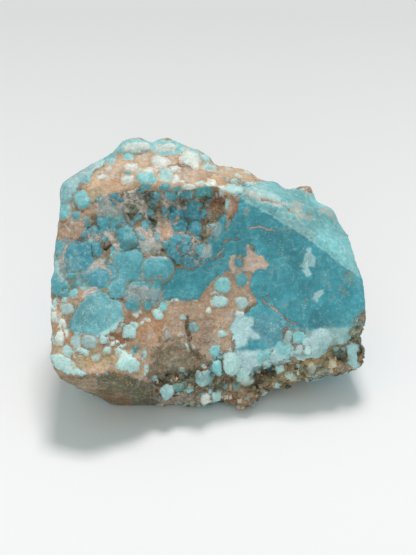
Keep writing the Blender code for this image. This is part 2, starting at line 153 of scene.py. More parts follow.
@dataclass(frozen=True)
class Noise:
    """Smooth seeded noise in space, the same on every run.

    spacing: the distance between its waves, in millimetres.
    seed: which of the many noises it is.
    layers: how many waves lie over each other.
    finer, weaker: how much finer and weaker each is than the one before.
    seed_step: how far apart their seeds are.
    """

    spacing: float
    seed: int
    layers: int = 1
    finer: float = 2.03
    weaker: float = 0.6
    seed_step: int = 31

    def at(self, places: np.ndarray) -> np.ndarray:
        """Return the noise at each place.

        Args:
            places: rows of three coordinates, in millimetres.

        Returns:
            One number for each place, from -1 to 1.
        """
        total = np.zeros(len(places))
        spacing, strength, reach = self.spacing, 1.0, 0.0
        for layer in range(self.layers):
            total += strength * self._wave(places / spacing, self.seed + self.seed_step * layer)
            reach += strength
            spacing, strength = spacing / self.finer, strength * self.weaker
        return total / reach

    @staticmethod
    def _wave(spots: np.ndarray, seed: int) -> np.ndarray:
        """Return one layer of noise at spots in waves, from -1 to 1."""
        home = np.floor(spots).astype(np.int64)
        blend = smooth(spots - home)
        total = np.zeros(len(spots))
        for corner in np.ndindex(2, 2, 2):
            share = np.prod(np.where(corner, blend, 1.0 - blend), axis=1)
            total += share * scatter(home + np.array(corner), seed)
        return 2.0 * total - 1.0


@dataclass(frozen=True)
class Cells:
    """Closely packed seeded cells in space, the same on every run.

    spacing: the distance between the middles of neighbours, in millimetres.
    seed: which of the many packings it is.
    margin, play: how far into its cell a middle starts, and how far it may
        lie from there, as shares of the spacing.
    """

    spacing: float
    seed: int
    margin: float = 0.1
    play: float = 0.8

    def at(self, places: np.ndarray) -> tuple[np.ndarray, np.ndarray, np.ndarray]:
        """Return each place's cell.

        Args:
            places: rows of three coordinates, in millimetres.

        Returns:
            The distance to the cell's middle, the distance to the next nearest
            middle, both in millimetres, and the cell's own three numbers.
        """
        spots = places / self.spacing
        home = np.floor(spots).astype(np.int64)
        nearest = np.full(len(spots), FAR)
        second = np.full(len(spots), FAR)
        owner = home.copy()
        for step in np.ndindex(3, 3, 3):
            cell = home + np.array(step) - 1
            drift = np.stack([scatter(cell, self.seed + axis) for axis in range(3)], axis=1)
            gap = np.linalg.norm(spots - cell - self.margin - self.play * drift, axis=1)
            closer = gap < nearest
            second = np.where(closer, nearest, np.minimum(second, gap))
            owner[closer] = cell[closer]
            nearest = np.minimum(nearest, gap)
        return nearest * self.spacing, second * self.spacing, owner


def scatter(cells: np.ndarray, seed: int) -> np.ndarray:
    """Return a number that looks random for each cell of space.

    Args:
        cells: rows of three whole numbers.
        seed: which set of numbers it is.

    Returns:
        One number for each cell, from 0 to 1.
    """
    code = (cells * np.array(PRIMES)).sum(axis=-1) + seed * SEED_STEP
    code = code.astype(np.uint64) & np.uint64(WORD)
    for shift, factor in STIRS:
        code ^= code >> np.uint64(shift)
        code = (code * np.uint64(factor)) & np.uint64(WORD)
    code ^= code >> np.uint64(LAST_STIR)
    return code / float(WORD)


def smooth(shares: np.ndarray) -> np.ndarray:
    """Return shares from 0 to 1 with a soft start and a soft end."""
    return shares * shares * (3.0 - 2.0 * shares)


def ramp(values: np.ndarray, start: float, end: float) -> np.ndarray:
    """Return values as a smooth rise from 0 at start to 1 at end.

    Args:
        values: any numbers.
        start: where the rise starts.
        end: where the rise ends, which may lie below start.

    Returns:
        One number from 0 to 1 for each value.
    """
    return smooth(np.clip((values - start) / (end - start), 0.0, 1.0))


@dataclass(frozen=True)
class Spread:
    """How something comes and goes over the stone.

    noise: the noise that it follows.
    start, end: the levels of the noise that it rises between.
    more: how much it rises by. least: how much of it there is everywhere.
    """

    noise: Noise
    start: float
    end: float
    more: float = 1.0
    least: float = 0.0

    def at(self, places: np.ndarray) -> np.ndarray:
        """Return how much of it there is at each place."""
        return self.least + self.more * ramp(self.noise.at(places), self.start, self.end)


def tint(colours: np.ndarray, kind: Kind, cover: np.ndarray) -> None:
    """Draw colours towards a kind's own, in place.

    Args:
        colours: one colour for each point.
        kind: the kind of stone or rock whose colour they take on.
        cover: how far each of them does, from 0 to 1.
    """
    colours += (kind.light() - colours) * cover[:, None]


def pick_lights(kinds: tuple[Kind, ...], picks: np.ndarray) -> np.ndarray:
    """Return the colour of one of several kinds for each pick.

    Args:
        kinds: the kinds to pick from.
        picks: numbers from 0 to 1.

    Returns:
        One colour for each pick, in linear light.
    """
    lights = np.array([kind.light() for kind in kinds])
    return lights[np.minimum((picks * len(kinds)).astype(int), len(kinds) - 1)]


@dataclass(frozen=True)
class Face:
    """The broken face, which leans back, and how it is seen square on.

    lean: the angle that it leans back by.
    middle: its middle in the frame of the solid, in millimetres.
    view_distance: how far away it is seen from, in millimetres.
    aim_up, aim_deep: the place on its middle line that the eye is on.
    """

    lean: float = math.radians(40.0)
    middle: tuple[float, float, float] = (-0.077, -7.577, 32.05)
    view_distance: float = 1000.0
    aim_up: float = -1.13
    aim_deep: float = 8.0

    def axes(self) -> np.ndarray:
        """Return the across, up and deep directions, as rows."""
        low, high = math.sin(self.lean), math.cos(self.lean)
        return np.array(((1.0, 0.0, 0.0), (0.0, low, high), (0.0, high, -low)))

    def on_face(self, places: np.ndarray) -> np.ndarray:
        """Return places of the stone as across, up and deep."""
        return (places - np.array(self.middle)) @ self.axes().T

    def in_stone(self, places: np.ndarray) -> np.ndarray:
        """Return places across, up and deep as places of the stone."""
        return np.asarray(places, float) @ self.axes() + np.array(self.middle)

    def seen(self, places: np.ndarray) -> np.ndarray:
        """Return where places of the stone are seen on the face, across and up."""
        spots = self.on_face(places)
        nearer = self.view_distance / (self.view_distance + spots[:, 2:] - self.aim_deep)
        aim = np.array((0.0, self.aim_up))
        return (spots[:, :2] - aim) * nearer + aim


@dataclass(frozen=True)
class Nodule:
    """A rounded body of stone in the face.

    across, up: its middle. width, height: half its size. kind: what it is.
    turn: how far it is turned, in degrees.
    soft: over what distance it passes into what is round it, 0 for a clean edge.
    fullness: 2 for an ellipse, and more for one that fills its corners.
    """

    across: float
    up: float
    width: float
    height: float
    kind: Kind
    turn: float = 0.0
    soft: float = 0.0
    fullness: float = 2.6

    def inside(self, seen: np.ndarray) -> np.ndarray:
        """Return how deep inside the nodule each place is, below 0 outside."""
        angle = math.radians(self.turn)
        side, rise = (seen - np.array((self.across, self.up))).T
        along = side * math.cos(angle) + rise * math.sin(angle)
        over = rise * math.cos(angle) - side * math.sin(angle)
        power = self.fullness
        reach = np.abs(along / self.width) ** power + np.abs(over / self.height) ** power
        return (1.0 - reach ** (1.0 / power)) * min(self.width, self.height)


@dataclass(frozen=True)
class Patch:
    """A body of stone, or a stretch of host rock, with an outline of its own.

    kind: what it is. corners: its outline, across and up.
    soft: over what distance it passes into what is round it, 0 for a clean edge.
    """

    kind: Kind
    corners: tuple[tuple[float, float], ...]
    soft: float = 0.0

    def inside(self, seen: np.ndarray) -> np.ndarray:
        """Return how deep inside the outline each place is, below 0 outside."""
        corners = np.array(self.corners)
        away = np.full(len(seen), np.inf)
        within = np.zeros(len(seen), bool)
        for start, end in zip(corners, np.roll(corners, -1, axis=0)):
            away = np.minimum(away, distance_to_line(seen, start, end))
            crosses = (start[1] > seen[:, 1]) != (end[1] > seen[:, 1])
            rise = end[1] - start[1] if end[1] != start[1] else 1.0
            meets = start[0] + (seen[:, 1] - start[1]) * (end[0] - start[0]) / rise
            within ^= crosses & (seen[:, 0] < meets)
        return np.where(within, away, -away)


@dataclass(frozen=True)
class Vein:
    """A thin vein, seam or crack through the face: half its width and its route."""

    kind: Kind
    width: float
    route: tuple[tuple[float, float], ...]

    def inside(self, seen: np.ndarray) -> np.ndarray:
        """Return how deep inside the vein each place is, below 0 outside."""
        stops = np.array(self.route)
        away = np.full(len(seen), np.inf)
        for start, end in zip(stops, stops[1:]):
            away = np.minimum(away, distance_to_line(seen, start, end))
        return self.width - away


def distance_to_line(seen: np.ndarray, start: np.ndarray, end: np.ndarray) -> np.ndarray:
    """Return how far each place is from the line between two others."""
    run = end - start
    along = np.clip((seen - start) @ run / (run @ run), 0.0, 1.0)
    return np.linalg.norm(seen - start - along[:, None] * run, axis=1)


@dataclass(frozen=True)
class Zone(Patch):
    """A stretch of the face with its own host rock and small nodules.

    share: how much of it is small nodules, from 0 to 1.
    tone: how pale they are, from 0 for deep blue to 1 for white.
    crumb: how far it breaks up into crumbs, from 0 to 1.
    broken: how jagged its break is, from 0 to 1.
    streaks: how many white scratches cross it, from 0 to 1.
    """

    share: float = 0.0
    tone: float = 0.5
    crumb: float = 0.0
    broken: float = 0.0
    streaks: float = 0.0


# Stretches of the face, each with its own host rock, in the order that they lie in.
ZONES = (
    Zone(SAND, (
        (-26.2, 26.9), (-23.9, 30.4), (-20.9, 33.7), (-8.3, 34.2), (-3.0, 31.7), (1.0, 28.4),
        (3.5, 23.9), (8.1, 19.1), (2.5, 20.9), (-4.5, 20.9), (-10.8, 20.6), (-14.6, 20.6),
        (-18.4, 21.6), (-22.1, 20.1), (-27.2, 18.9), (-32.2, 17.1), (-35.7, 14.3),
        (-36.7, 14.8), (-34.2, 17.6), (-30.2, 22.9),
    ), share=0.14, tone=0.85, broken=0.1, streaks=0.2),
    Zone(MOSS, (
        (-38.5, 14.6), (-35.7, 15.3), (-32.2, 17.1), (-27.2, 18.9), (-22.1, 20.1),
        (-18.4, 21.6), (-14.6, 19.6), (-9.6, 18.9), (-2.0, 18.4), (4.0, 17.6), (5.0, 14.6),
        (1.5, 11.3), (-0.5, 4.0), (-4.5, 1.8), (-9.1, 0.3), (-14.6, 4.3), (-22.6, 5.8),
        (-28.4, 2.8), (-35.7, 8.3), (-38.7, 7.0),
    ), share=0.55, tone=0.1, crumb=0.1, broken=1.0, streaks=0.9),
    Zone(TAN, (
        (-39.2, 17.9), (-34.7, 18.9), (-31.2, 18.4), (-27.7, 17.9), (-27.2, 15.9),
        (-29.7, 13.8), (-31.2, 11.8), (-31.7, 8.8), (-35.7, 8.1), (-38.5, 8.3),
    ), share=0.15, tone=0.5, crumb=0.1, broken=0.5, streaks=0.7),
    Zone(TAN, (
        (-13.1, 14.8), (-10.6, 13.8), (-8.1, 11.8), (-7.5, 9.3), (-10.1, 7.8), (-12.6, 8.8),
        (-13.6, 11.8),
    ), share=0.1, tone=0.4, broken=0.3, streaks=0.3),
    Zone(RUST, (
        (0.8, 21.4), (3.5, 20.9), (5.5, 18.4), (8.1, 17.4), (9.6, 14.8), (6.5, 14.3),
        (4.5, 15.3), (1.5, 16.9),
    ), share=0.1, tone=0.5, broken=0.5),
    Zone(DRAB, (
        (-38.7, 8.3), (-35.7, 8.3), (-28.4, 2.8), (-22.6, 5.8), (-14.6, 4.3), (-9.1, 0.3),
        (-9.6, -3.0), (-11.1, -7.3), (-14.6, -9.8), (-20.6, -9.8), (-21.1, -6.8),
        (-28.2, -4.3), (-31.2, -3.8), (-34.7, -6.8), (-39.8, -6.8),
    ), share=0.95, tone=0.12, broken=0.3, streaks=0.3),
    Zone(TAN, (
        (-21.1, -6.8), (-14.6, -9.3), (-11.1, -7.3), (-5.8, -6.8), (-2.0, -6.8), (-0.8, -1.8),
        (3.5, 0.8), (7.0, 5.3), (10.6, 7.3), (15.1, 2.8), (11.6, -0.8), (10.6, -4.8),
        (13.6, -6.0), (8.1, -10.3), (6.0, -15.6), (7.0, -19.4), (3.5, -19.9), (0.0, -21.9),
        (-3.0, -24.9), (-9.6, -25.9), (-14.6, -26.4), (-19.6, -19.9), (-24.7, -16.9),
        (-21.6, -12.3),
    ), tone=0.9, crumb=0.1, broken=0.1, streaks=0.1),
    Zone(ORANGE, (
        (-20.1, -9.8), (-14.6, -8.8), (-10.6, -8.3), (-10.1, -12.3), (-12.1, -16.9),
        (-15.6, -18.4), (-18.6, -15.3),
    ), tone=0.8, crumb=0.1, broken=0.1, streaks=0.4),
    Zone(SAND, (
        (-40.3, -6.8), (-37.2, -6.3), (-31.2, -3.8), (-34.7, -6.8), (-35.7, -13.1),
        (-31.2, -15.9), (-27.2, -15.9), (-21.6, -13.3), (-19.6, -16.9), (-19.1, -19.9),
        (-14.6, -24.9), (-17.1, -25.9), (-20.9, -24.9), (-24.2, -24.4), (-27.7, -24.9),
        (-29.7, -25.9), (-37.2, -26.4), (-40.0, -22.4),
    ), share=0.2, tone=0.85, crumb=0.2, broken=0.1, streaks=0.2),
    Zone(RUST, (
        (-28.2, -15.9), (-24.2, -14.3), (-21.6, -12.8), (-19.6, -11.3), (-18.1, -14.3),
        (-19.6, -17.9), (-23.1, -19.4), (-26.2, -18.9),
    ), tone=0.85, crumb=0.2, broken=0.1, streaks=0.5),
    # the undercut of the left foot: its greenish-brown crust, painted darker where it faces down:
    # painted shade
    Zone(MOSS, (
        (-37.7, -26.2), (-32.7, -26.2), (-29.2, -25.7), (-27.2, -24.7), (-24.2, -24.2),
        (-20.9, -24.7), (-17.1, -25.7), (-14.1, -26.9), (-11.6, -29.9), (-12.6, -34.0),
        (-22.1, -34.5), (-30.9, -30.7), (-37.7, -27.7),
    ), tone=0.5, crumb=0.08, broken=0.25),
    Zone(BROWN, (
        (-14.6, -26.4), (-9.6, -25.4), (-3.0, -24.4), (1.0, -25.7), (3.5, -26.4), (8.1, -28.9),
        (12.1, -28.4), (13.6, -31.4), (8.1, -34.5), (-4.5, -34.5), (-12.6, -34.5),
        (-12.1, -29.9),
    ), share=0.15, tone=0.85, crumb=0.85, broken=0.3),
    Zone(ORANGE, (
        (3.5, -30.4), (6.0, -29.4), (9.1, -29.9), (12.1, -28.4), (13.6, -30.9), (10.6, -33.0),
        (7.0, -34.5), (4.5, -34.0),
    ), tone=0.8, crumb=0.7, broken=0.3),
    Zone(GOLD, (
        (11.1, -29.4), (12.1, -24.4), (14.6, -22.9), (19.4, -22.4), (24.2, -21.9),
        (27.7, -20.9), (30.2, -18.9), (33.2, -16.9), (35.7, -14.3), (38.5, -10.6),
        (40.8, -9.8), (40.8, -24.4), (33.2, -26.9), (23.1, -27.9), (18.1, -29.9),
        (13.6, -30.9),
    ), share=0.14, tone=0.8, crumb=1.0, broken=0.4),
    Zone(SAND, (
        (1.5, 26.9), (4.5, 27.9), (9.3, 26.4), (13.6, 23.4), (16.9, 21.9), (11.8, 22.1),
        (6.8, 23.1), (3.5, 23.9),
    ), share=0.3, tone=0.75, crumb=0.25, broken=0.3),
)
# Bodies of stone with an outline of their own, in the order that they lie in.
PATCHES = (
    # the clean face of the right
    Patch(CLEAN, (
        (8.8, 17.9), (13.6, 15.6), (18.1, 13.0), (23.1, 10.2), (28.2, 6.4), (32.0, 3.4),
        (35.7, 0.4), (39.0, -2.1), (40.5, -6.8), (40.8, -9.1), (38.5, -9.8), (36.7, -11.8),
        (35.5, -13.8), (31.7, -14.1), (29.9, -13.3), (26.4, -14.1), (23.1, -13.6),
        (21.6, -13.8), (20.6, -18.4), (16.6, -19.1), (13.6, -19.9), (10.6, -19.9),
        (9.6, -18.9), (10.1, -16.9), (12.1, -17.4), (13.8, -16.4), (11.6, -13.6),
        (11.6, -10.8), (9.6, -10.1), (10.6, -9.1), (12.3, -7.8), (12.3, -6.3), (11.3, -5.0),
        (10.6, -3.3), (10.6, -1.3), (12.3, 0.3), (14.8, 1.3), (13.6, 3.0), (12.3, 4.3),
        (10.8, 7.0), (9.8, 5.3), (9.1, 3.5), (8.1, 5.3), (7.3, 4.0), (6.0, 2.0), (4.0, 0.0),
        (1.3, -2.3), (-0.5, -3.8), (-2.5, -6.0), (-5.5, -7.0), (-7.3, -6.0), (-10.8, -6.8),
        (-11.3, -2.3), (-9.1, 0.3), (-5.5, 1.8), (-2.5, 2.8), (-0.5, 4.0), (-0.3, 8.3),
        (1.5, 11.3), (3.3, 14.6), (4.5, 15.1), (5.3, 11.1), (7.0, 14.8), (7.5, 17.1),
    )),
    # its dull lower corner
    Patch(DUSK, (
        (11.6, -11.3), (13.6, -9.8), (16.9, -10.6), (19.4, -12.3), (21.6, -14.3),
        (21.4, -17.4), (19.6, -19.1), (16.1, -19.4), (13.6, -17.9), (12.1, -15.9),
    ), soft=0.35),
    # the slope above it, in the clean face's turquoise painted lighter: painted light
    Patch(SLOPE, (
        (8.1, 18.9), (13.6, 16.0), (18.1, 13.4), (23.1, 10.7), (28.2, 6.8), (32.0, 3.8),
        (35.7, 0.7), (39.0, -2.0), (39.0, 1.3), (37.5, 7.5), (35.0, 11.8), (33.7, 15.1),
        (31.4, 16.9), (28.2, 17.4), (26.4, 19.9), (23.1, 20.9), (19.4, 21.6), (15.6, 22.9),
        (12.1, 22.6), (9.6, 21.6), (7.0, 21.4), (5.0, 20.6),
    ), soft=0.05),
    # the ridge between them, painted pale along its edge: a painted highlight
    Patch(SKY, (
        (8.8, 17.9), (13.6, 15.6), (18.1, 12.9), (23.1, 10.2), (28.2, 6.4), (32.0, 3.4),
        (35.7, 0.4), (36.0, 0.8), (32.0, 3.9), (28.2, 6.9), (23.1, 10.8), (18.1, 13.5),
        (13.6, 16.1), (10.1, 18.1),
    ), soft=0.1),
    # the frosted edge at the top left
    Patch(FROST, (
        (-37.2, 23.1), (-32.2, 25.9), (-27.2, 28.9), (-25.2, 30.4), (-23.9, 28.9),
        (-26.2, 27.7), (-28.7, 25.9), (-30.7, 24.4), (-32.5, 22.4), (-33.7, 20.4),
        (-34.7, 18.6), (-35.7, 16.4), (-37.2, 14.3), (-38.7, 14.3), (-38.2, 18.9),
    ), soft=1.0),
    # the milky band
    Patch(FROST, (
        (7.2, -18.9), (10.3, -19.7), (13.7, -19.7), (16.5, -18.9), (20.5, -18.6),
        (21.9, -13.8), (23.2, -14.1), (26.3, -14.4), (30.0, -13.8), (35.6, -13.8),
        (35.9, -16.4), (32.3, -18.0), (29.7, -19.2), (27.8, -21.1), (24.1, -22.0),
        (21.0, -21.1), (19.3, -22.5), (17.4, -23.1), (14.8, -23.9), (11.5, -24.5),
        (9.2, -23.9), (7.2, -21.4),
    ), soft=0.5),
    # its tip
    Patch(FROST, (
        (34.7, -18.0), (36.2, -17.1), (37.9, -18.4), (37.7, -21.9), (38.5, -23.9),
        (36.2, -24.2), (34.8, -22.9), (35.3, -20.6),
    )),
    # the pale flag at its left end
    Patch(SHELF, (
        (7.2, -10.7), (11.2, -11.0), (11.2, -13.8), (13.4, -16.4), (12.0, -16.9),
        (10.1, -16.4), (9.8, -18.3), (7.2, -18.9), (5.9, -15.2), (5.3, -14.1),
    ), soft=0.4),
    # the big blue body of the left
    Patch(STEEL, (
        (-35.1, -12.3), (-32.0, -7.4), (-29.7, -5.3), (-27.9, -4.2), (-25.7, -4.7),
        (-23.5, -6.3), (-21.1, -7.6), (-21.2, -11.2), (-23.5, -13.6), (-27.4, -15.5),
        (-30.6, -15.5), (-34.7, -14.2),
    )),
    # its pale edge
    Patch(MINT, (
        (-27.9, -15.9), (-24.2, -13.3), (-21.8, -11.3), (-21.6, -12.7), (-23.9, -14.6),
        (-26.2, -16.0),
    ), soft=0.5),
    # the pale foot of the left
    Patch(MINT, (
        (-39.8, -20.5), (-36.6, -20.3), (-34.7, -21.3), (-33.6, -22.6), (-32.6, -24.0),
        (-30.1, -25.4), (-32.0, -26.1), (-35.3, -25.4), (-38.3, -24.0), (-39.8, -22.1),
    )),
    # the pale triangle
    Patch(MINT, (
        (-21.4, -19.6), (-20.0, -20.2), (-16.9, -22.9), (-17.5, -24.6), (-19.7, -25.0),
        (-23.3, -24.0), (-23.0, -22.9),
    )),
    # scuffs of the clean face
    Patch(SCUFF, (
        (24.9, 6.7), (25.8, 6.3), (26.3, 4.8), (27.2, 3.0), (26.9, 1.1), (25.7, 1.5),
        (24.8, 1.1), (22.9, 1.8), (23.9, 3.5), (24.5, 5.0),
    ), soft=0.15),
    Patch(SCUFF, (
        (23.8, 0.6), (25.2, 0.8), (26.3, -0.6), (24.7, -1.0),
    ), soft=0.15),
    Patch(SCUFF, (
        (26.8, -5.0), (28.7, -4.2), (28.9, -5.5), (27.9, -6.4), (27.6, -7.5), (26.5, -6.5),
    ), soft=0.15),
    # the broken star: a chip, its edge and its heart
    Patch(TAN, (
        (5.8, 4.0), (7.0, 4.5), (7.3, 2.8), (6.7, 1.3), (7.0, -0.3), (5.8, 0.0), (5.5, 1.8),
    ), soft=0.15),
    Patch(TAN, (
        (10.1, 7.0), (10.7, 5.5), (12.3, 4.5), (13.6, 4.3), (15.2, 2.0), (14.6, 0.8),
        (12.6, 0.9), (11.3, 0.0), (9.6, 0.3), (8.1, 0.5), (8.8, 2.0), (8.3, 3.5), (9.6, 4.0),
    ), soft=0.15),
    Patch(PINK, (
        (9.8, 4.0), (11.1, 3.6), (12.1, 2.8), (13.6, 2.5), (14.1, 1.5), (12.3, 1.3),
        (10.6, 0.8), (9.2, 1.1), (9.7, 2.5),
    ), soft=0.3),
)
# Nodules, in the order that they lie in: across, up, width, height, kind, turn, soft.
NODULES = tuple(Nodule(*row) for row in (
    # the cap
    (-18.5, 32.1, 4.5, 1.5, SKY, 8), (-18.2, 31.6, 3.4, 1.1, MILK, 8, 0.25),
    (-10.0, 31.9, 3.7, 1.7, SKY, -3), (-10.6, 31.6, 2.8, 1.1, MILK, -3, 0.25),
    (-3.8, 30.3, 1.8, 1.1, SKY, -30), (-4.3, 28.6, 2.6, 2.0, MILK, -28),
    (-0.9, 28.9, 1.4, 0.9, MINT, -35), (0.2, 26.7, 1.6, 0.9, MINT, -10),
    (-24.7, 28.7, 1.4, 1.5, SLOPE, 20), (-20.0, 29.3, 1.5, 0.8, SKY),
    (-19.1, 26.9, 1.5, 0.9, MILK, 15), (-20.2, 25.4, 1.1, 0.4, TEAL),
    (-14.9, 26.0, 1.4, 0.9, MILK), (-12.0, 28.2, 2.1, 1.4, MILK, -10),
    (-15.4, 24.0, 2.5, 1.5, SKY), (-10.5, 24.9, 1.7, 1.5, MINT),
    (-8.2, 26.3, 1.3, 1.0, MILK, -10), (-8.0, 23.8, 1.0, 0.8, MILK),
    (-20.2, 23.5, 1.7, 1.2, MILK), (-15.7, 21.7, 1.6, 0.7, TEAL), (-10.6, 21.7, 1.7, 1.0, TEAL),
    (-7.7, 21.4, 1.1, 0.7, TEAL), (-4.8, 21.8, 1.5, 0.9, MILK), (-1.5, 22.5, 1.5, 0.9, MINT),
    (0.6, 22.7, 1.4, 1.1, MILK, -15), (-6.5, 23.1, 0.4, 0.4, MILK), (-12.6, 26.0, 0.4, 0.4, MILK),
    # the top left facet and the broken left
    (-31.7, 18.4, 1.9, 2.4, SLOPE, 30), (-36.3, 15.5, 1.5, 2.0, SLOPE),
    (-33.1, 14.5, 1.1, 1.1, TEAL), (-30.6, 13.5, 0.7, 0.8, TEAL), (-23.2, 17.9, 1.8, 2.4, BLUE),
    (-25.6, 12.9, 2.5, 2.9, TEAL), (-22.6, 12.5, 2.0, 2.4, TEAL),
    (-28.6, 10.2, 1.5, 1.9, BLUE, 20), (-20.5, 9.0, 2.4, 3.0, TEAL, 25),
    (-15.7, 12.4, 1.3, 1.2, TEAL), (-10.6, 15.6, 0.9, 1.9, TEAL), (-8.0, 15.2, 2.4, 2.2, BLUE),
    (-7.2, 12.0, 2.0, 2.0, BLUE, 20), (-3.1, 15.6, 2.2, 2.5, BLUE), (-3.1, 11.4, 1.7, 2.0, BLUE),
    (-9.3, 18.9, 1.8, 1.5, TEAL), (-5.4, 19.4, 1.5, 1.1, TEAL), (-1.0, 20.2, 2.2, 1.7, GREEN),
    (-0.8, 15.0, 0.8, 1.1, TEAL), (-7.0, 6.1, 3.5, 3.9, BLUE), (-4.5, 3.1, 2.2, 1.9, BLUE),
    (-13.1, 8.4, 1.2, 2.0, TEAL), (-10.8, 7.3, 0.9, 1.2, TEAL), (-15.3, 6.4, 0.9, 1.4, TEAL),
    (-36.4, 6.0, 2.3, 2.7, TEAL), (-32.7, 4.2, 3.9, 3.9, BLUE), (-27.9, 5.8, 1.3, 1.9, BLUE),
    (-25.9, 8.4, 0.9, 1.1, TEAL), (-19.7, 1.8, 4.1, 4.1, TEAL, 10), (-12.7, 1.0, 4.0, 3.4, TEAL),
    (-24.7, 0.1, 1.9, 2.0, BLUE),
    # the middle of the left
    (-38.1, 1.3, 0.8, 2.2, SKY), (-37.2, -3.0, 2.3, 2.8, TEAL), (-34.5, -0.6, 1.5, 0.9, TEAL),
    (-32.8, -2.4, 0.9, 1.1, TEAL), (-35.5, -4.9, 1.0, 1.0, TEAL), (-33.9, -5.0, 1.1, 1.4, SKY),
    (-27.8, -1.3, 3.2, 2.6, BLUE), (-22.4, -4.0, 2.5, 2.3, TEAL), (-17.2, -3.9, 2.8, 2.1, TEAL),
    (-13.0, -4.2, 1.6, 2.5, TEAL), (-18.8, -7.3, 1.9, 2.3, TEAL), (-15.3, -8.2, 1.0, 1.3, TEAL),
    (-12.6, -10.4, 1.4, 1.6, MINT, 10), (-11.0, -8.4, 0.9, 1.3, SKY),
    # pale ones of the left and the middle
    (-35.7, -9.1, 1.6, 1.5, GREY), (-38.2, -7.4, 0.8, 1.3, MINT), (-38.7, -11.0, 1.1, 1.3, MILK),
    (-38.5, -16.7, 1.0, 1.4, MINT), (-37.0, -15.9, 1.4, 2.1, MILK, -25),
    (-35.0, -19.4, 1.5, 1.4, MINT, -30), (-33.4, -17.1, 1.4, 1.5, GREY),
    (-31.6, -20.0, 1.8, 1.3, MINT, -20), (-30.1, -17.0, 1.9, 1.7, GREY),
    (-21.4, -13.3, 0.7, 0.6, MINT), (-18.3, -13.2, 1.0, 1.0, MINT),
    (-19.8, -14.8, 1.7, 1.7, MINT), (-26.3, -16.8, 1.2, 1.1, MINT),
    (-24.2, -17.8, 0.6, 0.7, MILK), (-22.8, -17.5, 0.6, 0.5, MILK),
    (-25.5, -19.6, 1.1, 1.1, MINT), (-28.1, -21.1, 1.0, 1.0, MINT),
    (-18.0, -10.5, 0.6, 0.7, MILK), (-17.0, -9.7, 0.4, 0.6, MILK), (-16.6, -12.5, 0.4, 0.4, MILK),
    (-15.9, -11.7, 0.4, 0.4, MILK), (-15.0, -12.0, 0.4, 0.4, MILK),
    (-16.2, -20.7, 0.6, 1.2, MINT), (-15.4, -24.0, 0.7, 0.9, MINT), (-6.4, -24.3, 0.7, 0.7, MINT),
    (-3.6, -13.4, 1.1, 1.4, SKY), (-6.1, -11.0, 0.7, 0.7, GREY), (-10.2, -15.4, 0.5, 0.9, GREY),
    (0.0, -9.2, 0.7, 0.8, MILK), (-5.2, -18.4, 0.4, 1.0, MINT), (-0.8, -26.4, 2.3, 2.1, FROST),
    (-10.3, -30.0, 1.7, 1.9, FROST), (-7.4, -28.7, 1.6, 1.0, GREEN), (-4.6, -29.8, 1.2, 0.8, SKY),
    (-0.5, -31.9, 1.5, 1.3, MILK), (2.1, -31.0, 1.1, 1.7, MINT),
    # the middle and the right
    (3.8, -3.1, 2.0, 2.0, SKY), (8.4, -1.6, 1.4, 1.7, TEAL, 20), (7.7, 2.6, 1.0, 1.1, BLUE),
    (1.5, -5.4, 0.8, 0.7, MILK), (3.1, -7.0, 2.3, 1.3, MINT), (8.5, -7.6, 1.5, 1.7, GREY, 20),
    (3.6, -15.2, 1.0, 0.9, MINT), (1.7, -19.6, 1.6, 1.5, SKY), (2.4, -23.8, 1.5, 2.1, SKY),
    (5.9, -22.9, 2.2, 3.2, MINT), (9.4, -26.3, 2.1, 2.1, MINT, 35), (7.2, -28.9, 1.1, 1.3, GREEN),
    (15.5, -23.9, 1.0, 1.1, INK), (17.8, -24.1, 1.3, 1.0, MINT),
    (20.7, -25.8, 1.4, 1.0, MINT, -20), (26.2, -24.1, 1.3, 1.3, CLAY, -40),
    (-18.4, -19.2, 0.8, 0.9, GREEN), (33.3, -20.0, 1.2, 1.1, INK, -40),
    (31.4, -22.8, 1.1, 1.4, CLAY), (6.8, 21.1, 2.4, 1.3, MINT, -12),
    (3.5, 20.7, 0.9, 1.5, MILK, 10),
    # pale bodies of the milky band
    (10.7, -21.9, 3.1, 2.5, SHELF, -15, 0.5), (14.1, -21.6, 2.0, 1.8, SKY, 0, 0.2),
    (17.4, -21.1, 1.8, 1.5, SHELF, 20), (20.5, -16.2, 1.1, 1.9, FROST),
    (19.0, -19.2, 1.9, 1.6, SKY, -20, 0.3), (23.0, -16.4, 1.9, 2.0, SKY),
    (25.8, -18.4, 1.9, 2.3, SHELF, 20, 0.2), (14.6, -23.1, 1.0, 1.3, MINT),
    (25.3, -19.6, 0.9, 1.3, MINT), (28.7, -15.9, 2.3, 1.8, SHELF, 0, 0.4),
    (23.1, -19.5, 1.0, 1.4, GREY), (9.3, -14.3, 1.3, 2.0, SHELF, 0, 0.6),
))
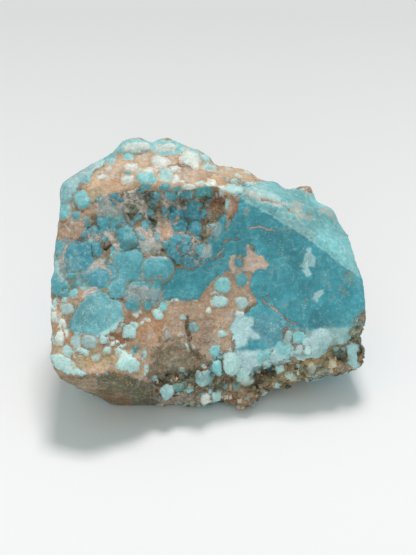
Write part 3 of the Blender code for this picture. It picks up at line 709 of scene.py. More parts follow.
# Veins, seams and cracks: kind, half the width, route.
VEINS = tuple(Vein(*row) for row in (
    (CHALK, 0.1, ((-2.0, 1.8), (0.8, 3.4), (4.2, 6.0))),
    (TAN, 0.13, ((13.7, -6.5), (17.6, -9.9), (19.3, -11.6), (22.1, -12.7), (23.2, -13.0))),
    (CHALK, 0.15, ((16.1, -8.3), (17.9, -10.6))),
    (TAN, 0.25, ((5.3, 16.6), (5.0, 14.8), (4.8, 11.1))),
    (CHALK, 0.2, ((10.3, 11.1), (12.6, 11.6), (15.3, 10.6))),
    (CHALK, 0.15, ((15.3, 10.7), (17.9, 10.3))), (CHALK, 0.2, ((10.3, 6.8), (10.9, 4.0))),
    (RUST, 0.2, ((13.7, 18.7), (16.0, 17.8), (17.6, 17.6), (19.6, 16.9), (21.6, 15.2))),
    (ORANGE, 0.26, (
        (-36.9, -13.6), (-35.1, -17.7), (-33.1, -20.2), (-30.1, -21.8), (-28.4, -23.4),
    )),
    (ORANGE, 0.2, ((-38.0, -6.8), (-37.7, -9.8), (-38.2, -13.1))),
    (UMBER, 0.16, (
        (-5.0, -10.8), (-5.4, -13.1), (-4.5, -15.9), (-4.8, -18.1), (-3.8, -19.9), (-2.5, -21.4),
    )),
    (UMBER, 0.14, ((-10.1, 27.4), (-7.5, 27.6), (-5.5, 26.9), (-4.0, 26.4))),
    (CHALK, 0.42, ((-17.4, 11.3), (-15.6, 9.3), (-14.8, 8.3))),
    (CHALK, 0.42, ((-14.6, 10.3), (-13.8, 8.3), (-12.6, 6.5))),
    (CHALK, 0.25, ((-17.1, 8.1), (-14.6, 6.3))),
    (CHALK, 0.45, ((-25.4, 10.1), (-24.2, 8.3), (-22.6, 7.3), (-22.9, 5.5))),
    (CHALK, 0.42, ((-27.4, 14.8), (-25.2, 15.6), (-22.6, 16.4))),
    (CHALK, 0.42, ((-29.2, 1.3), (-27.7, 2.8), (-25.9, 3.8))),
    (CHALK, 0.45, ((-30.7, -5.2), (-29.4, -4.2), (-28.2, -3.9))),
    (CHALK, 0.25, ((-31.2, -6.0), (-29.7, -5.3), (-28.4, -5.0))),
    (CHALK, 0.25, ((-35.7, 6.8), (-36.7, 4.8), (-37.2, 2.8))),
    # a crack of painted shade, with dirt, in the recess under the cap's lip
    (PITCH, 0.2, ((-0.5, 18.6), (1.5, 18.4), (3.5, 17.4))),
    (UMBER, 0.2, ((1.5, 8.3), (0.8, 11.3), (-0.5, 14.6))),
    (ORANGE, 0.12, ((1.3, 2.8), (3.5, 4.3))), (TAN, 0.12, ((16.1, -8.1), (15.1, -5.8))),
    (ORANGE, 0.1, ((3.5, 6.8), (5.0, 8.3), (8.1, 8.3))),
    (TAN, 0.25, ((-20.3, -24.8), (-17.9, -25.7), (-14.6, -26.9))),
    (TAN, 0.3, ((-29.0, -25.1), (-25.7, -24.3), (-23.5, -23.9), (-20.3, -24.8))),
))
# Dirt and soft changes of colour, painted shade in pits, cracks and hollows, and painted light
# along the ridge, over nodules and host rock alike, in the same order.
STAINS = tuple(Nodule(*row) for row in (
    (-16.2, 19.6, 2.5, 1.6, PITCH, -25), (-6.4, 17.7, 1.1, 0.8, PITCH, -30),
    (-32.5, 7.8, 1.3, 1.0, PITCH), (-0.3, 18.6, 1.3, 1.0, PITCH, 20),
    (-13.6, 12.0, 1.0, 0.9, PITCH), (2.0, 19.4, 1.5, 1.7, UMBER), (-15.6, 16.7, 1.5, 0.9, MOSS),
    (-26.8, 17.1, 1.1, 1.3, MOSS), (-31.2, 8.6, 1.6, 1.3, UMBER), (-29.4, 18.4, 0.8, 1.3, OLIVE),
    (0.6, 25.0, 1.2, 0.7, MOSS), (-25.7, 7.3, 1.5, 1.5, UMBER), (-19.1, 7.0, 1.0, 1.3, MOSS, 25),
    # the two MOSS stains here: the valley's greenish-brown rock, painted darker where it faces
    # down: painted shade
    (-7.8, -22.9, 7.3, 6.0, MOSS, -35), (-7.8, -22.6, 6.3, 5.3, MOSS, -35),
    (-13.3, -26.4, 3.8, 1.5, UMBER), (-0.9, -17.2, 1.4, 1.1, UMBER),
    (-1.9, -22.6, 2.1, 2.3, UMBER), (3.5, -27.7, 2.8, 1.3, UMBER),
    (13.2, -26.8, 1.9, 3.1, UMBER, 20), (-10.1, -27.6, 1.5, 0.5, PITCH, 8),
    (-6.5, -29.2, 1.1, 1.2, MOSS), (-14.2, -31.8, 2.1, 1.3, UMBER),
    (5.7, 19.3, 2.1, 1.0, ORANGE, -20), (9.8, 20.1, 1.0, 1.8, TAN),
    (12.8, 19.0, 2.3, 0.9, TAN, -20), (22.4, 16.5, 1.8, 1.2, TAN, -10),
    (-13.3, 7.0, 2.5, 1.8, SCUFF, 20), (-36.9, 1.5, 1.4, 3.3, CHALK),
    (15.0, 19.0, 4.4, 1.9, CHALK, -20), (24.8, 20.6, 1.9, 1.5, TAN, -20),
    (9.8, -28.7, 2.3, 1.8, TAN), (-34.5, 2.3, 2.3, 2.0, SCUFF), (-6.5, -32.2, 6.0, 1.5, CHALK),
    (32.0, -20.4, 2.5, 3.5, OLIVE, -30), (-14.8, 29.8, 2.8, 1.4, CHALK),
    (-9.8, 27.4, 3.3, 1.5, CHALK), (-28.7, 20.4, 2.5, 1.5, OLIVE),
    (-4.0, 24.9, 3.5, 2.0, CHALK, -20), (-24.9, 25.2, 3.3, 2.3, CHALK, 30),
    (-23.1, 14.3, 2.5, 2.0, SKY), (2.0, 17.2, 1.5, 2.4, RUST), (6.0, 17.9, 1.5, 1.5, TAN),
    (34.7, -24.9, 1.5, 1.3, CHALK), (-36.5, 20.8, 1.8, 2.4, TEAL),
    (-23.4, 7.5, 3.0, 1.1, CHALK, -55), (-15.1, 8.8, 3.0, 1.1, CHALK, -45),
    (-15.3, 5.8, 3.0, 1.1, CHALK, -50), (-28.4, 1.8, 2.8, 1.1, CHALK, 35),
    (-24.9, 15.3, 3.0, 1.0, CHALK, -10), (-11.8, 4.5, 3.0, 1.0, CHALK, -20),
    (-18.0, -19.1, 1.1, 0.8, MOSS), (-0.8, 5.8, 2.3, 0.8, CHALK, 75),
    (-17.9, -3.5, 3.3, 0.8, CHALK), (-21.6, 22.3, 3.5, 1.4, ORANGE),
    (-0.8, 24.2, 2.3, 1.3, ORANGE, -20), (-16.4, -5.5, 4.8, 2.0, PINK),
    (-0.1, 6.3, 0.9, 2.5, CHALK), (1.5, 10.8, 1.8, 2.0, CHALK, 50),
    (9.7, 15.3, 0.9, 0.8, TAN, -60), (-35.0, 17.0, 2.3, 2.4, SKY),
    (7.8, 24.9, 5.8, 2.5, SAND, -20), (6.0, -28.6, 4.5, 2.1, OLIVE),
    (24.8, -24.2, 9.7, 2.3, GOLD, 18), (-25.8, 16.7, 1.9, 2.1, SCUFF),
    (37.0, -13.0, 2.3, 3.4, SKY), (8.1, -31.3, 4.0, 2.1, ORANGE),
    # (21.9, 12.3) MINT: painted light along the ridge, where the slope turns away
    (28.2, -25.2, 3.5, 1.8, FROST, -25), (21.9, 12.3, 6.3, 1.3, MINT, -34),
    (14.3, -24.9, 2.8, 1.5, PITCH, 10), (24.7, -24.5, 2.0, 0.9, PITCH),
    (-3.8, -30.8, 1.8, 0.9, PITCH), (23.7, 14.6, 3.5, 0.9, TAN, -20),
    (25.7, 15.0, 1.0, 0.9, OLIVE, -20), (30.4, 15.0, 2.8, 0.9, TAN, -30),
    (-1.3, -14.3, 3.3, 4.0, BROWN), (13.3, 21.1, 1.8, 1.5, MINT),
    (35.2, -1.1, 1.4, 1.5, OLIVE, 20), (33.7, -4.0, 1.0, 1.8, OLIVE, 10),
    (33.1, -20.0, 1.4, 1.1, PITCH, -40), (38.5, -19.4, 0.8, 1.8, PITCH),
    (26.7, -25.9, 1.0, 1.0, UMBER), (22.4, -23.4, 1.3, 1.0, UMBER),
    # (-22.8, -29.4) MOSS: over the undercut, its greenish crust painted darker: painted shade
    (-22.8, -29.4, 8.2, 3.0, MOSS, -10), (-22.8, -32.0, 4.4, 2.0, RUST, -15),
    (-30.9, -27.9, 4.8, 2.0, TAN, -25), (19.6, -17.4, 1.0, 0.9, MOSS),
    (-34.8, -13.0, 0.9, 1.1, MOSS), (-20.3, -19.0, 0.9, 0.9, OLIVE),
    (-23.1, -23.0, 0.8, 1.1, CLAY), (-32.7, -23.0, 1.5, 1.1, CLAY),
    (-38.0, -19.5, 1.3, 0.9, CLAY), (-25.4, -21.4, 2.8, 2.0, GOLD, 20),
    (-31.4, -21.9, 2.8, 2.0, GOLD, 40), (-20.6, -20.9, 1.5, 1.0, CHALK),
    (-35.5, 8.1, 1.8, 1.3, RUST), (6.5, 18.1, 1.5, 1.3, RUST), (-8.6, 17.1, 1.0, 1.8, PITCH),
    (7.3, -29.9, 1.0, 1.0, MOSS),
))


@dataclass(frozen=True)
class Skin:
    """The stone's skin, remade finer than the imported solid's.

    node: the solid that it stands for.
    grid: the distance between its points on the hidden sides, in millimetres.
    weld: how close two of the solid's points are that are one.
    softening: how often the solid's flat faces are rubbed, before and after
        the face is made finer. rub: how hard.
    front_edge: how far round the sides the finer skin of the face goes.
    """

    node: str = "nugget"
    grid: float = 0.7
    weld: float = 0.01
    softening: tuple[int, int] = (2, 2)
    rub: float = 0.5
    front_edge: float = 0.12

    def build(self, face: Face) -> bpy.types.Object:
        """Build the skin.

        Args:
            face: the broken face, which gets the finer skin.

        Returns:
            The skin as an object, still in millimetres.
        """
        mesh = bmesh.new()
        mesh.from_mesh(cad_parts[self.node].data)
        bmesh.ops.scale(mesh, vec=(1.0 / MM,) * 3, verts=mesh.verts)
        bmesh.ops.remove_doubles(mesh, verts=mesh.verts, dist=self.weld)
        skin = make_object("nugget_stone", mesh)
        remesh = skin.modifiers.new("skin", "REMESH")
        remesh.mode = "VOXEL"
        remesh.voxel_size = self.grid
        fine = bmesh.new()
        fine.from_object(skin, bpy.context.evaluated_depsgraph_get())
        skin.modifiers.clear()
        self._soften(fine, self.softening[0])
        self._refine(fine, Vector(-face.axes()[2]))
        self._soften(fine, self.softening[1])
        bmesh.ops.triangulate(fine, faces=[side for side in fine.faces if len(side.verts) > 4])
        for side in fine.faces:
            side.smooth = True
        fine.to_mesh(skin.data)
        fine.free()
        return skin

    def _refine(self, mesh: bmesh.types.BMesh, outward: Vector) -> None:
        """Split every side that shows from the front into four."""
        mesh.normal_update()
        sides = [side for side in mesh.faces if side.normal.dot(outward) > self.front_edge]
        edges = list({edge for side in sides for edge in side.edges})
        bmesh.ops.subdivide_edges(mesh, edges=edges, cuts=1, use_grid_fill=True)

    def _soften(self, mesh: bmesh.types.BMesh, times: int) -> None:
        """Rub a mesh a number of times."""
        axes = {f"use_axis_{axis}": True for axis in "xyz"}
        for _ in range(times):
            bmesh.ops.smooth_vert(mesh, verts=mesh.verts, factor=self.rub, **axes)


class Coat:
    """The stone's colours, laid on its skin in order.

    places: the skin's points, in millimetres.
    front: how far each point belongs to the face, from 0 to 1.
    seen: where each point is seen on the face, slightly bent so that nothing
        in the stone has a drawn outline.
    stone, ground: each point's colour as a nodule and as host rock.
    rim: how deep each point lies inside its nodule, below 0 in host rock.
    chalk, grit: how mottled and how rough it is.
    solid: how far it belongs to a large body of stone, from 0 to 1.
    pit: how far it lies in a pit, from 0 to 1.
    seam: how wide the seams are here, as a multiple of their usual width.
    ragged: how far outlines are torn here, in millimetres.
    mottle: how far the outlines of stains, painted shade and painted light are, as a share of their
    size.
    speckle: how patchy stains, painted shade and painted light are inside their outlines.
    share, tone, crumb, broken, streaks: as in a zone.
    """

    # Where the face turns away, and how far its shapes sink on the hidden sides.
    turning = (-0.3, 0.02)
    sinking = 8.0
    # How outlines bend, fray and tear, in millimetres.
    bends = (Noise(2.6, 11), Noise(2.6, 12))
    frays = (Noise(0.8, 13), Noise(0.8, 14))
    tears = Noise(1.4, 16, 3)
    bend, fray, tear = 0.36, 0.22, 0.45
    # How wide the seams are, and how stains, painted shade and painted light are torn and speckled.
    seams = Spread(Noise(3.2, 15, 2), -0.5, 0.5, 2.5, -0.35)
    stain_tears = Noise(1.5, 51, 5)
    stain_tear = 0.9
    speckles = Spread(Noise(0.9, 53, 4), -0.12, 0.14, 0.45, 0.55)
    # The hidden sides: their host rock, and what a zone says of the face.
    warmth = Spread(Noise(17.0, 21, 2), -0.35, 0.3)
    greenness = Spread(Noise(9.0, 22, 2), 0.0, 0.4)
    hidden = {
        "share": Spread(Noise(15.0, 23), -0.3, 0.35, 0.6, 0.25),
        "tone": Spread(Noise(13.0, 24), -0.2, 0.5, 0.7, 0.1),
        "crumb": Spread(Noise(19.0, 25), 0.06, 0.36, 0.85),
        "broken": Spread(Noise(14.0, 26), -0.1, 0.4, 0.5),
        "streaks": Spread(Noise(12.0, 27), 0.0, 0.4, 0.4),
    }
    # How far a zone's border is torn, and how soft it is.
    zone_tear, zone_soft = 3.0, 1.2
    # Packed nodules, from deep to pale: how they are bent, rounded and mottled.
    cell_kinds = (BLUE, TEAL, SKY, MINT, MILK)
    cell_bend, cell_wave, cell_round = 0.5, 2.2, 0.62
    cell_play, cell_chalk = 0.5, 0.35
    # Clean breaks of the hidden sides, and how their edge wanders.
    break_noise, break_edge, break_wander = Noise(21.0, 28, 2), Noise(3.0, 29, 2), 0.3
    break_level, break_depth, break_chalk = 0.12, 12.0, 0.3
    # The usual seams, how far outlines are torn, and how much nodules' shades differ.
    patch_seam, nodule_seam = 0.18, 0.2
    nodule_tear, vein_tear, nodule_play = 0.3, 0.8, 0.14
    shade_cell, shade_seed = (3, 7), 5
    # The depths between which patches calm what is round them, and veins, stains,
    # painted shade and light, pits and scratches come in.
    patch_edge, vein_edge, stain_edge = (-0.4, 0.6), (-0.45, -0.1), (-0.2, 0.35)
    pit_edge, scratch_edge = (0.05, -0.3), (-0.1, 0.15)
    # A soft body closes seams that are this shallow and near, and how deep inside
    # a nodule that and its own border then lie.
    closed_depth, closed_reach, closed_rim, border_rim = -0.45, 0.5, 0.3, 0.1
    # Clouds in large bodies, and the pale lines between what they grew from.
    cloud_cells, cloud_seed, cloud_noise = Cells(4.8, 91), 92, Noise(7.0, 93, 3)
    cloud_bend, cloud_play, cloud_line, cloud_pale = 0.7, 0.3, 0.6, 0.2
    cloud_lines = Spread(Noise(5.0, 94), -0.3, 0.4)
    # Scratches: where they bunch, and the seed and the turn of each set.
    bunches = Spread(Noise(4.5, 40, 2), -0.15, 0.25)
    scratches = ((41, 0.6), (42, -0.75), (43, 1.6))
    scratch_wave, scratch_stretch = 0.75, 0.22
    # How high their noise has to be, how much less where they bunch and more
    # inside a nodule, how deep they then cut, and where they bunch too little.
    scratch_level, scratch_bunch, scratch_stone = 0.55, 0.5, 0.33
    scratch_depth, scratch_least, stone_edge = 2.5, 0.02, (0.0, 0.6)
    # How strongly stains, painted shade and light, and scratches cover host rock, and nodules after
    # that.
    stain_cover, stain_on_stone = 0.5, 0.9
    scratch_cover, scratch_on_stone = 0.9, 0.7
    # Crumbs: their packing and colours, and what is strewn over all host rock.
    crumb_cells, crumb_seed, crumb_cover = Cells(2.0, 61), 62, 0.7
    crumb_kinds = (OLIVE, TAN, GOLD, CLAY, MOSS, RUST, UMBER)
    drifts = ((0.35, Noise(3.5, 63, 3)), (0.3, Noise(9.0, 64, 2)))
    pale_dust = Spread(Noise(2.4, 65, 4), 0.05, 0.4, 0.4)
    dark_dust = Spread(Noise(2.9, 66, 4), 0.05, 0.4)
    warm_dust = Spread(Noise(2.1, 67, 4), 0.0, 0.35)
    dust_cover = 0.5
    # How far the whole crust darkens towards umber, and the painted shade, with dark host rock, in
    # the gaps between crumbs: how dark, and where it fades.
    gap_cover, gap_depth, gap_width = 0.3, 0.4, (0.6, 0.05)
    # Pits between the nodules, and how dark they are painted: painted shade, with dirt.
    pits = Spread(Noise(3.4, 96, 3), 0.1, 0.36)
    pit_cover = 0.75

    def __init__(self, places: np.ndarray, normals: np.ndarray, face: Face) -> None:
        """Take the skin's points, and start with the hidden sides' host rock.

        Args:
            places: the skin's points, in millimetres.
            normals: their outward directions.
            face: the broken face.
        """
        self.places = places
        self.front = ramp(-normals @ face.axes()[2], *self.turning)
        drift = [
            self.bend * bend.at(places) + self.fray * fray.at(places)
            for bend, fray in zip(self.bends, self.frays)
        ]
        self.seen = face.seen(places) + np.stack(drift, axis=1)
        count = len(places)
        self.stone = np.tile(TEAL.light(), (count, 1))
        self.rim = np.full(count, -FAR)
        self.chalk = np.full(count, TEAL.value.chalk)
        self.grit = np.full(count, BROWN.value.grit)
        self.solid = np.zeros(count)
        self.pit = np.zeros(count)
        self.seam = self.seams.at(places)
        self.mottle = self.stain_tear * self.stain_tears.at(places)
        self.speckle = self.speckles.at(places)
        self.ragged = self.tear * self.tears.at(places)
        warm = self.warmth.at(places)[:, None]
        self.ground = TAN.light() * warm + BROWN.light() * (1.0 - warm)
        green = self.greenness.at(places)[:, None]
        self.ground = self.ground * (1.0 - green) + OLIVE.light() * green
        for name, spread in self.hidden.items():
            setattr(self, name, spread.at(places))

    def within(self, shape: Nodule | Patch | Vein) -> np.ndarray:
        """Return how deep inside a shape of the face each point lies."""
        return shape.inside(self.seen) - self.sinking * (1.0 - self.front)

    def lay_zone(self, zone: Zone) -> None:
        """Lay a zone's host rock, and set what small nodules it gets."""
        inside = self.within(zone) + self.zone_tear * self.ragged
        cover = ramp(inside, -self.zone_soft, self.zone_soft)
        tint(self.ground, zone.kind, cover)
        self.grit += (zone.kind.value.grit - self.grit) * cover
        for name in self.hidden:
            values = getattr(self, name)
            values += (getattr(zone, name) - values) * cover

    def grow_cells(self, cells: Cells, seam: float, seed: int, rarity: float = 1.0) -> None:
        """Grow small packed nodules wherever the zones ask for them.

        Args:
            cells: the packing that the nodules fill.
            seam: half the width of the host rock between them.
            seed: which nodules grow, and in what colours.
            rarity: above 1, fewer grow where the zones ask for few.
        """
        waves = [Noise(self.cell_wave, seed + axis).at(self.places) for axis in range(3)]
        bent = self.places + self.cell_bend * np.stack(waves, axis=1)
        near, second, owner = cells.at(bent)
        inside = np.minimum((second - near) / 2.0 - seam, cells.spacing * self.cell_round - near)
        grows = scatter(owner, seed) < self.share**rarity
        shift = scatter(owner, seed + 1) - 0.5
        tone = np.clip(self.tone + self.cell_play * shift, 0.0, 1.0)
        lights = np.array([kind.light() for kind in self.cell_kinds])
        stops = np.linspace(0.0, 1.0, len(lights))
        colour = np.stack([np.interp(tone, stops, light) for light in lights.T], axis=1)
        self._lay(np.where(grows, inside, -FAR), colour, self.cell_chalk, seam)

    def break_clean(self) -> None:
        """Let some of the hidden sides break clean through solid turquoise."""
        edge = self.break_wander * self.break_edge.at(self.places)
        where = self.break_noise.at(self.places) + edge
        inside = (where - self.break_level) * self.break_depth - self.break_depth * self.front
        self._lay(inside, CLEAN.light(), self.break_chalk, self.nodule_seam)
        self.solid = np.where(inside > 0.0, 1.0, self.solid)

    def lay_patch(self, patch: Patch) -> None:
        """Lay a large body of stone with an outline of its own."""
        inside = self.within(patch) + self.ragged
        calm = ramp(inside, *self.patch_edge)
        for values in (self.share, self.crumb, self.broken, self.streaks):
            values *= 1.0 - calm
        self.solid += (1.0 - self.solid) * calm
        if patch.soft:
            self._merge(inside, patch.kind, patch.soft)
        else:
            self._lay(inside, patch.kind.light(), patch.kind.value.chalk, self.patch_seam)

    def lay_nodule(self, nodule: Nodule, number: int) -> None:
        """Lay one nodule, in its own slight shade of its kind's colour."""
        inside = self.within(nodule) + self.nodule_tear * self.ragged
        if nodule.soft:
            self._merge(inside, nodule.kind, nodule.soft)
            return
        own = scatter(np.array([[number, *self.shade_cell]]), self.shade_seed)[0]
        shade = 1.0 + self.nodule_play * (own - 0.5)
        colour = nodule.kind.light() * shade
        self._lay(inside, colour, nodule.kind.value.chalk, self.nodule_seam)
        self.solid = np.where(inside > -self.nodule_seam, 0.0, self.solid)

    def _merge(self, inside: np.ndarray, kind: Kind, soft: float) -> None:
        """Let a body of stone pass into what is round it, with no seam.

        Args:
            inside: how deep inside the body each point lies.
            kind: what it is.
            soft: over what distance it passes into what is round it.
        """
        cover = ramp(inside, -soft, soft)
        tint(self.stone, kind, cover)
        self.chalk += (kind.value.chalk - self.chalk) * cover
        seam = (self.rim > self.closed_depth) & (inside > -soft - self.closed_reach)
        closed = np.where(seam, self.closed_rim, inside + self.border_rim)
        self.rim = np.maximum(self.rim, closed)

    def _lay(self, inside: np.ndarray, colour: np.ndarray, chalk: float, seam: float) -> None:
        """Lay a body of stone over what is there, with host rock round it.

        Args:
            inside: how deep inside the body each point lies.
            colour: its colour, one for all points or one for each.
            chalk: how mottled it is.
            seam: the usual width of the host rock round it.
        """
        self.rim = np.minimum(self.rim, -inside - seam * self.seam)
        over = inside > self.rim
        self.stone = np.where(over[:, None], colour, self.stone)
        self.chalk = np.where(over, chalk, self.chalk)
        self.rim = np.where(over, inside, self.rim)

    def cloud(self) -> None:
        """Let the large bodies show faint clouds, and the nodules they grew from."""
        near, second, owner = self.cloud_cells.at(
            self.places + self.cloud_bend * self.ragged[:, None]
        )
        tone = self.cloud_play * (scatter(owner, self.cloud_seed) - 0.5)
        tone = tone + self.cloud_play * self.cloud_noise.at(self.places)
        self.stone *= 1.0 + (self.solid * tone)[:, None]
        line = ramp(second - near, self.cloud_line, 0.0) * self.cloud_lines.at(self.places)
        tint(self.stone, SKY, self.cloud_pale * line * self.solid)

    def cut_vein(self, vein: Vein) -> None:
        """Cut a vein, and fill it with its own rock."""
        inside = self.within(vein) + self.vein_tear * self.ragged
        tint(self.ground, vein.kind, ramp(inside, *self.vein_edge))
        self.rim = np.minimum(self.rim, -inside)

    def scratch(self) -> None:
        """Scratch the broken stretches with short white strokes."""
        bunch = self.streaks * self.bunches.at(self.places)
        for seed, turn in self.scratches:
            along = self.seen @ np.array((math.cos(turn), math.sin(turn)))
            across = self.seen @ np.array((-math.sin(turn), math.cos(turn)))
            layer = np.full(len(along), float(seed))
            spots = np.stack((across, self.scratch_stretch * along, layer), axis=1)
            level = Noise(self.scratch_wave, seed, 2).at(spots)
            inside = level - self.scratch_level + self.scratch_bunch * bunch
            inside = inside - self.scratch_stone * ramp(self.rim, *self.stone_edge)
            inside = np.where(bunch > self.scratch_least, inside * self.scratch_depth, -FAR)
            cover = self.scratch_cover * ramp(inside, *self.scratch_edge)
            tint(self.ground, CHALK, cover)
            tint(self.stone, CHALK, self.scratch_on_stone * cover)
            self.rim = np.minimum(self.rim, -inside)

    def stain(self, stain: Nodule) -> None:
        """Lay one stain, patch of painted shade or patch of painted light over nodules and host
        rock alike.
        """
        finish = stain.kind.value
        inside = self.within(stain) + self.mottle * min(stain.width, stain.height)
        cover = self.stain_cover * self.speckle * ramp(inside, *self.stain_edge)
        tint(self.ground, stain.kind, cover)
        tint(self.stone, stain.kind, self.stain_on_stone * cover)
        self.chalk += (finish.chalk - self.chalk) * cover
        self.grit += (finish.grit - self.grit) * cover
        # Painted shade of pits also marks them as pits, which the relief sinks.
        if stain.kind is PITCH:
            self.pit = np.maximum(self.pit, cover)

    def colour_crumbs(self) -> None:
        """Give each crumb a colour of its own, strew dust over all host rock, and paint shade into
        the gaps between crumbs.
        """
        near, second, owner = self.crumb_cells.at(self.places)
        colour = pick_lights(self.crumb_kinds, scatter(owner, self.crumb_seed))
        self.ground += (colour - self.ground) * (self.crumb_cover * self.crumb)[:, None]
        drift = sum(size * noise.at(self.places) for size, noise in self.drifts)
        self.ground *= 1.0 + (self.grit * drift)[:, None]
        tint(self.ground, CHALK, self.pale_dust.at(self.places))
        dark = self.dust_cover * self.grit * self.dark_dust.at(self.places)
        tint(self.ground, UMBER, dark)
        warm = self.dust_cover * (1.0 - self.grit) * self.warm_dust.at(self.places)
        tint(self.ground, RUST, warm)
        # Painted shade, with dark host rock, in the gaps between crumbs.
        gap = self.gap_depth * self.crumb * ramp(second - near, *self.gap_width)
        tint(self.ground, UMBER, self.gap_cover * self.crumb + gap)

    def sink_pits(self) -> None:
        """Sink pits between the nodules of the broken and crumbling stretches, and paint shade into
        them, with dirt.
        """
        rough = np.maximum(self.broken, self.crumb) * ramp(self.rim, *self.pit_edge)
        self.pit = rough * self.pits.at(self.places)
        tint(self.ground, PITCH, self.pit_cover * self.pit)


@dataclass(frozen=True)
class Relief:
    """How far the coat's layers raise the skin, in millimetres.

    grains, lumps, waves: the noises of grains, of lumps and of the hidden sides.
    steps, step_seed: the blocks that the broken stretches break into.
    body, body_swell: how nodules stand up from host rock, and bulge when broken.
    grain, lump: how rough host rock is. polish: how rough nodules are.
    crumb, crumb_top, crumb_width: how crumbs are domed.
    step: how far blocks are broken off. pit: how deep pits are.
    wave, wave_grain: how uneven the hidden sides are.
    calm: how far nodules calm crumbs, and large bodies the hidden sides.
    step_bend: how far grains bend the blocks' borders.
    body_edge, swell_edge: the depths between which nodules stand up and bulge.
    step_edge: how wide the worn border of a block is.
    foot: the heights above the floor between which all of this fades in.
    """

    grains: Noise = Noise(0.9, 71, 3)
    lumps: Noise = Noise(2.4, 72, 2)
    waves: Noise = Noise(4.0, 75, 3)
    steps: Cells = Cells(2.9, 73)
    step_seed: int = 74
    body: float = 0.28
    body_swell: float = 0.5
    grain: float = 0.22
    lump: float = 0.16
    polish: float = 0.03
    crumb: float = 0.85
    crumb_top: float = 0.4
    crumb_width: float = 1.4
    step: float = 0.7
    pit: float = 0.9
    wave: float = 0.5
    wave_grain: float = 0.2
    calm: float = 0.6
    step_bend: float = 0.4
    body_edge: tuple[float, float] = (-0.12, 0.5)
    swell_edge: tuple[float, float] = (-0.1, 1.6)
    step_edge: tuple[float, float] = (0.0, 0.6)
    foot: tuple[float, float] = (0.1, 2.5)

    def raised(self, coat: Coat) -> np.ndarray:
        """Return how far each point is raised along its direction."""
        places = coat.places
        body = ramp(coat.rim, *self.body_edge)
        grain = self.grains.at(places)
        near, _, _ = coat.crumb_cells.at(places)
        block, edge, owner = self.steps.at(places + self.step_bend * grain[:, None])
        step = (scatter(owner, self.step_seed) - 0.5) * ramp(edge - block, *self.step_edge)
        dome = self.crumb_top - (near / self.crumb_width) ** 2
        rough = self.grain * grain + self.lump * self.lumps.at(places)
        wave = self.wave * self.waves.at(places) + self.wave_grain * grain
        raised = self.body * (body - 0.5)
        raised += (1.0 - body) * coat.grit * rough
        raised += self.polish * body * grain
        raised += self.crumb * coat.crumb * dome * (1.0 - self.calm * body)
        raised += self.step * coat.broken * step - self.pit * coat.pit
        raised += self.body_swell * coat.broken * ramp(coat.rim, *self.swell_edge)
        raised += (1.0 - coat.front) * (1.0 - self.calm * coat.solid) * wave
        return raised * ramp(places[:, 2] - CAD_LOW.z / MM, *self.foot)


@dataclass(frozen=True)
class Nugget:
    """The stone itself: its skin, its coat, its relief and its material.

    fine_cells, coarse_cells: the small nodules of two sizes that fill host rock,
        with their seams, their seeds and how rare they are.
    deepest: the depth inside a nodule past which all places look alike.
    crust_starts, crust_ends: the crumbling, and the depth between nodules,
        between which loose grains start to grow.
    crust_in_pits: how far pits keep the grains out.
    """

    skin: Skin
    face: Face
    relief: Relief = Relief()
    fine_cells: tuple[Cells, float, int] = (Cells(2.3, 81), 0.12, 82)
    coarse_cells: tuple[Cells, float, int, float] = (Cells(5.2, 85), 0.16, 86, 3.0)
    deepest: float = 3.0
    crust_starts: tuple[float, float] = (0.25, 0.85)
    crust_ends: tuple[float, float] = (0.1, -0.3)
    crust_in_pits: float = 0.8

    def build(self) -> bpy.types.Object:
        """Build the stone and dress it.

        Returns:
            The finished stone, in place.
        """
        stone = self.skin.build(self.face)
        mesh = stone.data
        places = read_points(mesh.vertices, "co")
        normals = read_points(mesh.vertex_normals, "vector")
        coat = self._paint(places, normals)
        write_points(mesh, (places + normals * self.relief.raised(coat)[:, None]) * MM)
        self._store(mesh, coat)
        mesh.materials.append(StoneMaterial().build())
        return stone

    def _paint(self, places: np.ndarray, normals: np.ndarray) -> Coat:
        """Lay every layer of the coat, in order."""
        coat = Coat(places, normals, self.face)
        for zone in ZONES:
            coat.lay_zone(zone)
        coat.colour_crumbs()
        coat.grow_cells(*self.fine_cells)
        coat.grow_cells(*self.coarse_cells)
        coat.break_clean()
        for patch in PATCHES:
            coat.lay_patch(patch)
        coat.cloud()
        for number, nodule in enumerate(NODULES):
            coat.lay_nodule(nodule, number)
        coat.sink_pits()
        coat.scratch()
        for vein in VEINS:
            coat.cut_vein(vein)
        for stain in STAINS:
            coat.stain(stain)
        return coat

    def _store(self, mesh: bpy.types.Mesh, coat: Coat) -> None:
        """Store the coat's layers at the skin's points, for the material."""
        for name, colours in (("stone", coat.stone), ("ground", coat.ground)):
            layer = mesh.attributes.new(name, "FLOAT_COLOR", "POINT")
            rows = np.concatenate((colours, np.ones((len(colours), 1))), axis=1)
            layer.data.foreach_set("color", np.clip(rows, 0.0, 1.0).astype(np.float32).ravel())
        crust = ramp(coat.crumb, *self.crust_starts) * ramp(coat.rim, *self.crust_ends)
        layers = {
            "rim": np.clip(coat.rim, -self.deepest, self.deepest),
            "chalk": coat.chalk,
            "grit": coat.grit,
            "crust": crust * (1.0 - self.crust_in_pits * coat.pit),
        }
        for name, values in layers.items():
            layer = mesh.attributes.new(name, "FLOAT", "POINT")
            layer.data.foreach_set("value", values.astype(np.float32))


def make_object(name: str, mesh: bmesh.types.BMesh) -> bpy.types.Object:
    """Put a bmesh into the scene as an object, and free the bmesh."""
    data = bpy.data.meshes.new(name)
    mesh.to_mesh(data)
    mesh.free()
    return show(bpy.data.objects.new(name, data))


def show(made: bpy.types.Object) -> bpy.types.Object:
    """Put an object into the scene, and return it."""
    bpy.context.scene.collection.objects.link(made)
    return made


